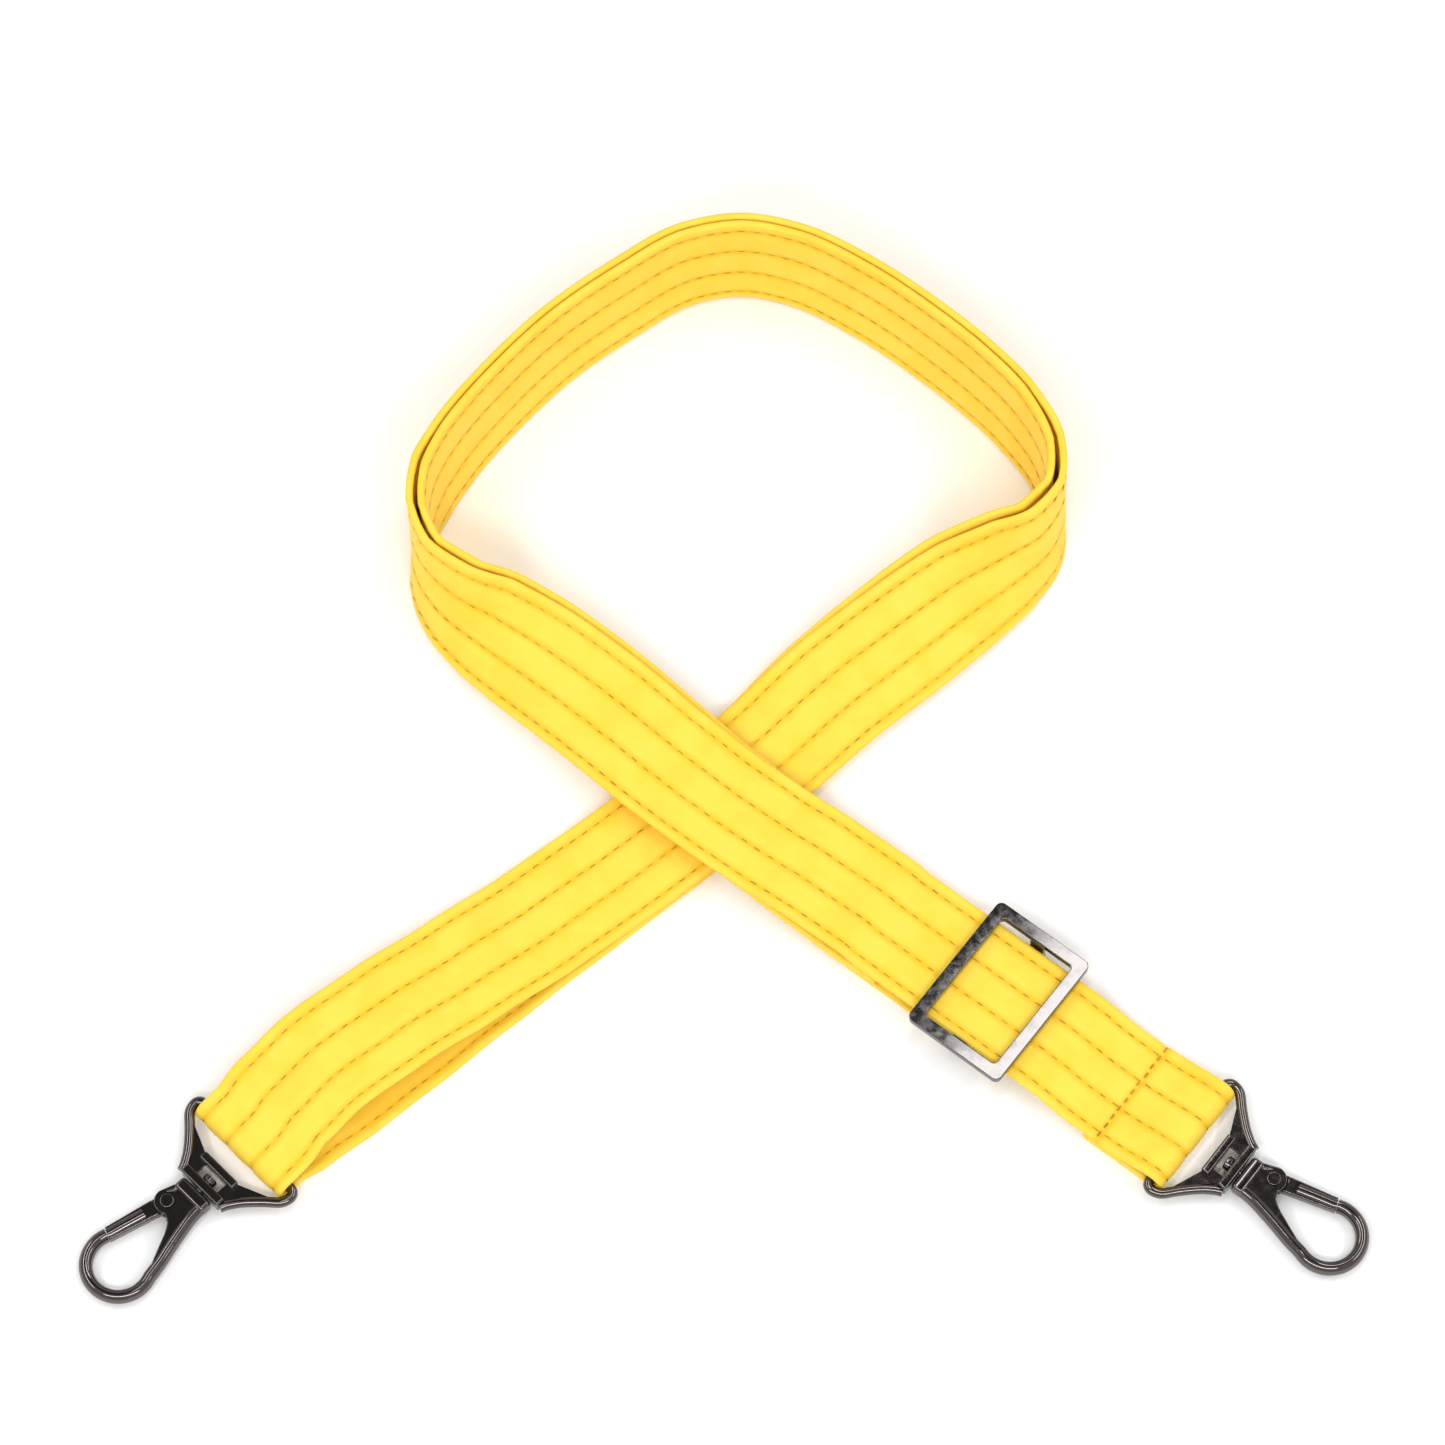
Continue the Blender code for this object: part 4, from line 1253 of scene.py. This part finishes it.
        cuts = (
            block(self.name("slot_tool"), (px - 3.5 * MM, -1.1 * MM, -slot),
                  (px + 8 * MM, py + 9 * MM, slot), self.metal),
            rod(self.name("post_tool"), post, (start - 2 * MM, 0, 0),
                (start + self.post_depth + self.layout.clearance, 0, 0), self.metal),
            rod(self.name("pin_tool"), pin, (px, py, -5 * MM), (px, py, 5 * MM), self.metal),
        )
        for tool in (bar, collar, shoulder):
            combine(body, tool, Operation.JOIN)
        for cut in cuts:
            combine(body, cut, Operation.CUT)
        return body, (bar, collar, shoulder, *cuts)

    def pin(self) -> tuple[bpy.types.Object, tuple[bpy.types.Object, ...]]:
        """The gate's pin, with a domed head on each cheek of the fork."""
        px, py = self.pivot
        half, cheek = self.body_thickness / 2, self.fork_thickness / 2
        inside = half - 0.3 * MM
        pin = rod(self.name("pin"), self.pin_radius, (px, py, -inside), (px, py, inside), self.metal)
        heads = []
        for sign in (-1, 1):
            head = rod(
                self.name(f"head_tool_{sign}"), self.pin_head_radius, (px, py, sign * (cheek + 0.05 * MM)),
                (px, py, sign * half), self.metal, 0.35 * MM,
            )
            combine(pin, head, Operation.JOIN)
            heads.append(head)
        return pin, tuple(heads)

    def spring(self) -> tuple[bpy.types.Object, tuple[bpy.types.Object, ...]]:
        """The gate spring: a bent wire on the floor of the fork's slot."""
        px = self.pivot[0]
        wire = [
            (px - 2.9 * MM, -0.3 * MM), (px - 1.2 * MM, -0.45 * MM),
            (px + 1.0 * MM, -0.35 * MM), (px + 2.8 * MM, 0.0),
        ]
        shape = bmesh.new()
        ring = bmesh.ops.create_circle(
            shape, cap_ends=True, radius=self.spring_wire, segments=12,
            matrix=Matrix.Translation((*wire[0], 0)) @ Matrix.Rotation(radians(90), 4, "Y"),
        )
        face = ring["verts"][0].link_faces[0]
        for before, after in zip(wire, wire[1:]):
            pulled = bmesh.ops.extrude_discrete_faces(shape, faces=[face])["faces"][0]
            bmesh.ops.translate(
                shape, verts=pulled.verts, vec=(after[0] - before[0], after[1] - before[1], 0)
            )
            face = pulled
        return finished(self.name("spring"), shape, self.steel), ()

    def gate(self) -> tuple[bpy.types.Object, tuple[bpy.types.Object, ...]]:
        """The gate: a thin round tongue in the fork and a thicker arm out to the nose."""
        px, py = self.pivot
        nose = [
            (self.eye_centre + r * cos(radians(self.nose_angle)), r * sin(radians(self.nose_angle)))
            for r in (self.eye_inner, self.eye_outer)
        ]
        gap = (sin(radians(self.nose_angle)) * self.nose_gap, -cos(radians(self.nose_angle)) * self.nose_gap)
        end = [(x - gap[0], y - gap[1]) for x, y in nose]
        outline = arc(self.pivot, self.gate_root, 82, 290, 24)
        outline += [(px + 5.1 * MM, py - 1.1 * MM), end[0], end[1], (px + 3.9 * MM, py + 4.0 * MM)]
        half = self.gate_thickness / 2
        leaf = half - 0.5 * MM
        gate = plate(self.name("gate_leaf"), outline, -leaf, leaf, self.metal, 0.5 * MM, 3)
        ahead = Vector((sin(radians(self.nose_angle)), -cos(radians(self.nose_angle))))
        tip = (Vector(end[0]) + Vector(end[1])) / 2 + ahead * 0.12 * MM
        root = Vector((px + 7.6 * MM, py + 2.2 * MM))
        grip = wire(
            self.name("grip_tool"),
            [tuple(root), tuple(root.lerp(tip, 0.5)), tuple(tip - ahead * MM), tuple(tip)],
            (2.3 * MM, 2.15 * MM), half + 0.25 * MM, self.metal,
        )
        combine(gate, grip, Operation.JOIN)
        cheek = self.cheek_radius + 2 * self.layout.clearance
        cuts = []
        for sign, label in ((1, "over"), (-1, "under")):
            low, high = sorted((sign * self.gate_tongue / 2, sign * 4 * MM))
            cuts.append(
                rod(self.name(f"cheek_{label}_tool"), cheek, (px, py, low), (px, py, high), self.metal, sides=64)
            )
        cuts.append(
            rod(self.name("gate_bore_tool"), self.pin_radius + self.layout.clearance,
                (px, py, -5 * MM), (px, py, 5 * MM), self.metal)
        )
        for cut in cuts:
            combine(gate, cut, Operation.CUT)
        return gate, (grip, *cuts)


# ---------------------------------------------------------------- studio
@dataclass
class Studio:
    """White paper floor, soft lights and a camera well above the strap."""

    aim: Vector
    view_width: float = 449.4 * MM
    elevation: float = 68.0
    distance: float = 2.4
    sensor: float = 36.0
    room_glow: float = 0.62
    card_glow: float = 0.12

    def build(self) -> None:
        """Adds the floor, the camera and the lights."""
        self.floor()
        self.camera()
        self.world()
        for name, spot, turn, width, depth, glow in (
            ("slider_strip", (0.20, 0.42, 1.5), -37.5, 0.15, 1.3, 8.5),
            ("front_strip", (-0.1, -0.9, 1.2), 80.0, 0.16, 1.4, 13.0),
            ("left_strip", (-0.95, 0.2, 1.1), 10.0, 0.13, 1.2, 9.0),
            ("right_strip", (1.0, 0.1, 1.0), -8.0, 0.13, 1.2, 9.0),
        ):
            self.light(name, spot, turn, width, depth, glow)
        bpy.context.scene.view_settings.view_transform = "Standard"

    def floor(self) -> None:
        """The paper that the strap lies on."""
        shape = bmesh.new()
        bmesh.ops.create_grid(shape, x_segments=1, y_segments=1, size=4.0)
        finished("floor_paper", shape, PaperFloor().build(), None)

    def camera(self) -> None:
        """A long lens looking down from the front."""
        angle = radians(self.elevation)
        back = Vector((0, -cos(angle), sin(angle)))
        data = bpy.data.cameras.new("strap_camera")
        data.sensor_width = self.sensor
        data.lens = self.sensor * self.distance / self.view_width
        data.clip_end = 20
        camera = bpy.data.objects.new("strap_camera", data)
        bpy.context.scene.collection.objects.link(camera)
        camera.location = self.aim + back * self.distance
        camera.rotation_mode = "QUATERNION"
        camera.rotation_quaternion = (-back).to_track_quat("-Z", "Y")
        bpy.context.scene.camera = camera

    def world(self) -> None:
        """A pale room with a dark card high behind the strap, which its flat polished faces mirror."""
        world = bpy.data.worlds.new("pale_room")
        world.use_nodes = True
        tree = world.node_tree
        gaze = add_node(tree, "TexCoord").outputs["Generated"]
        angle = radians(self.elevation)
        near = add_node(
            tree, "VectorMath", {"operation": "DOT_PRODUCT"}, {0: gaze, 1: (0.0, cos(angle), sin(angle))}
        )
        level = add_node(
            tree, "MapRange",
            inputs={
                "Value": near.outputs["Value"], "From Min": cos(radians(26)), "From Max": cos(radians(19)),
                "To Min": self.room_glow, "To Max": self.card_glow,
            },
        )
        tree.links.new(level.outputs["Result"], tree.nodes["Background"].inputs["Strength"])
        tree.nodes["Background"].inputs["Color"].default_value = (1, 1, 1, 1)
        bpy.context.scene.world = world

    def light(
        self, name: str, spot: tuple[float, float, float], turn: float, width: float, depth: float, glow: float
    ) -> None:
        """A strip light with a crisp edge, aimed at the strap or, high above it, straight down.

        Args:
            name: the light's name.
            spot: where its middle is.
            turn: its turn about the vertical in degrees.
            width: its size across.
            depth: its size along.
            glow: its brightness per area, where the floor is near 1.
        """
        data = bpy.data.lights.new(name, "AREA")
        data.shape = "RECTANGLE"
        data.size, data.size_y = width, depth
        data.energy = glow * pi * width * depth
        lamp = bpy.data.objects.new(name, data)
        bpy.context.scene.collection.objects.link(lamp)
        down = Vector((0, 0, -1)) if spot[2] > 1.3 else ORIGIN - Vector(spot)
        lean = Vector((0, 0, -1)).rotation_difference(down.normalized()).to_matrix().to_4x4()
        lamp.matrix_world = Matrix.Translation(Vector(spot)) @ lean @ Matrix.Rotation(radians(turn), 4, "Z")


def main() -> None:
    """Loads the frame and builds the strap's sub-assemblies in order."""
    logging.basicConfig(level=logging.INFO, format="%(message)s")
    for old in list(bpy.data.objects):
        bpy.data.objects.remove(old, do_unlink=True)
    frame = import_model()
    turn = next(joint for joint in frame["joints"] if joint["name"] == "right_loop_turn")
    layout = StrapLayout(ORIGIN)
    layout.shift = Vector(turn["pos_m"]) - layout.right - UP * layout.bar_height
    cloth, thread = BeltCloth().build(), StitchThread().build()
    metal = BlackNickel("black_nickel_casting").build()
    slider_metal = BlackNickel(
        "black_nickel_plate", tint="#5C5958", bare="#646160", roughness=0.04,
        wave_size=16 * MM, wave_depth=0.01 * MM,
    ).build()
    steel = SpringWire().build()
    band = StitchedBand(layout, cloth, thread)
    Belt(layout, band).build()
    Slider(layout, slider_metal, band).build()
    for side in Side:
        SnapHook(side, layout, metal, steel).build()
    Studio(Vector((-1.4 * MM, 0, 0)) + layout.shift).build()


if __name__ == "__main__":
    main()
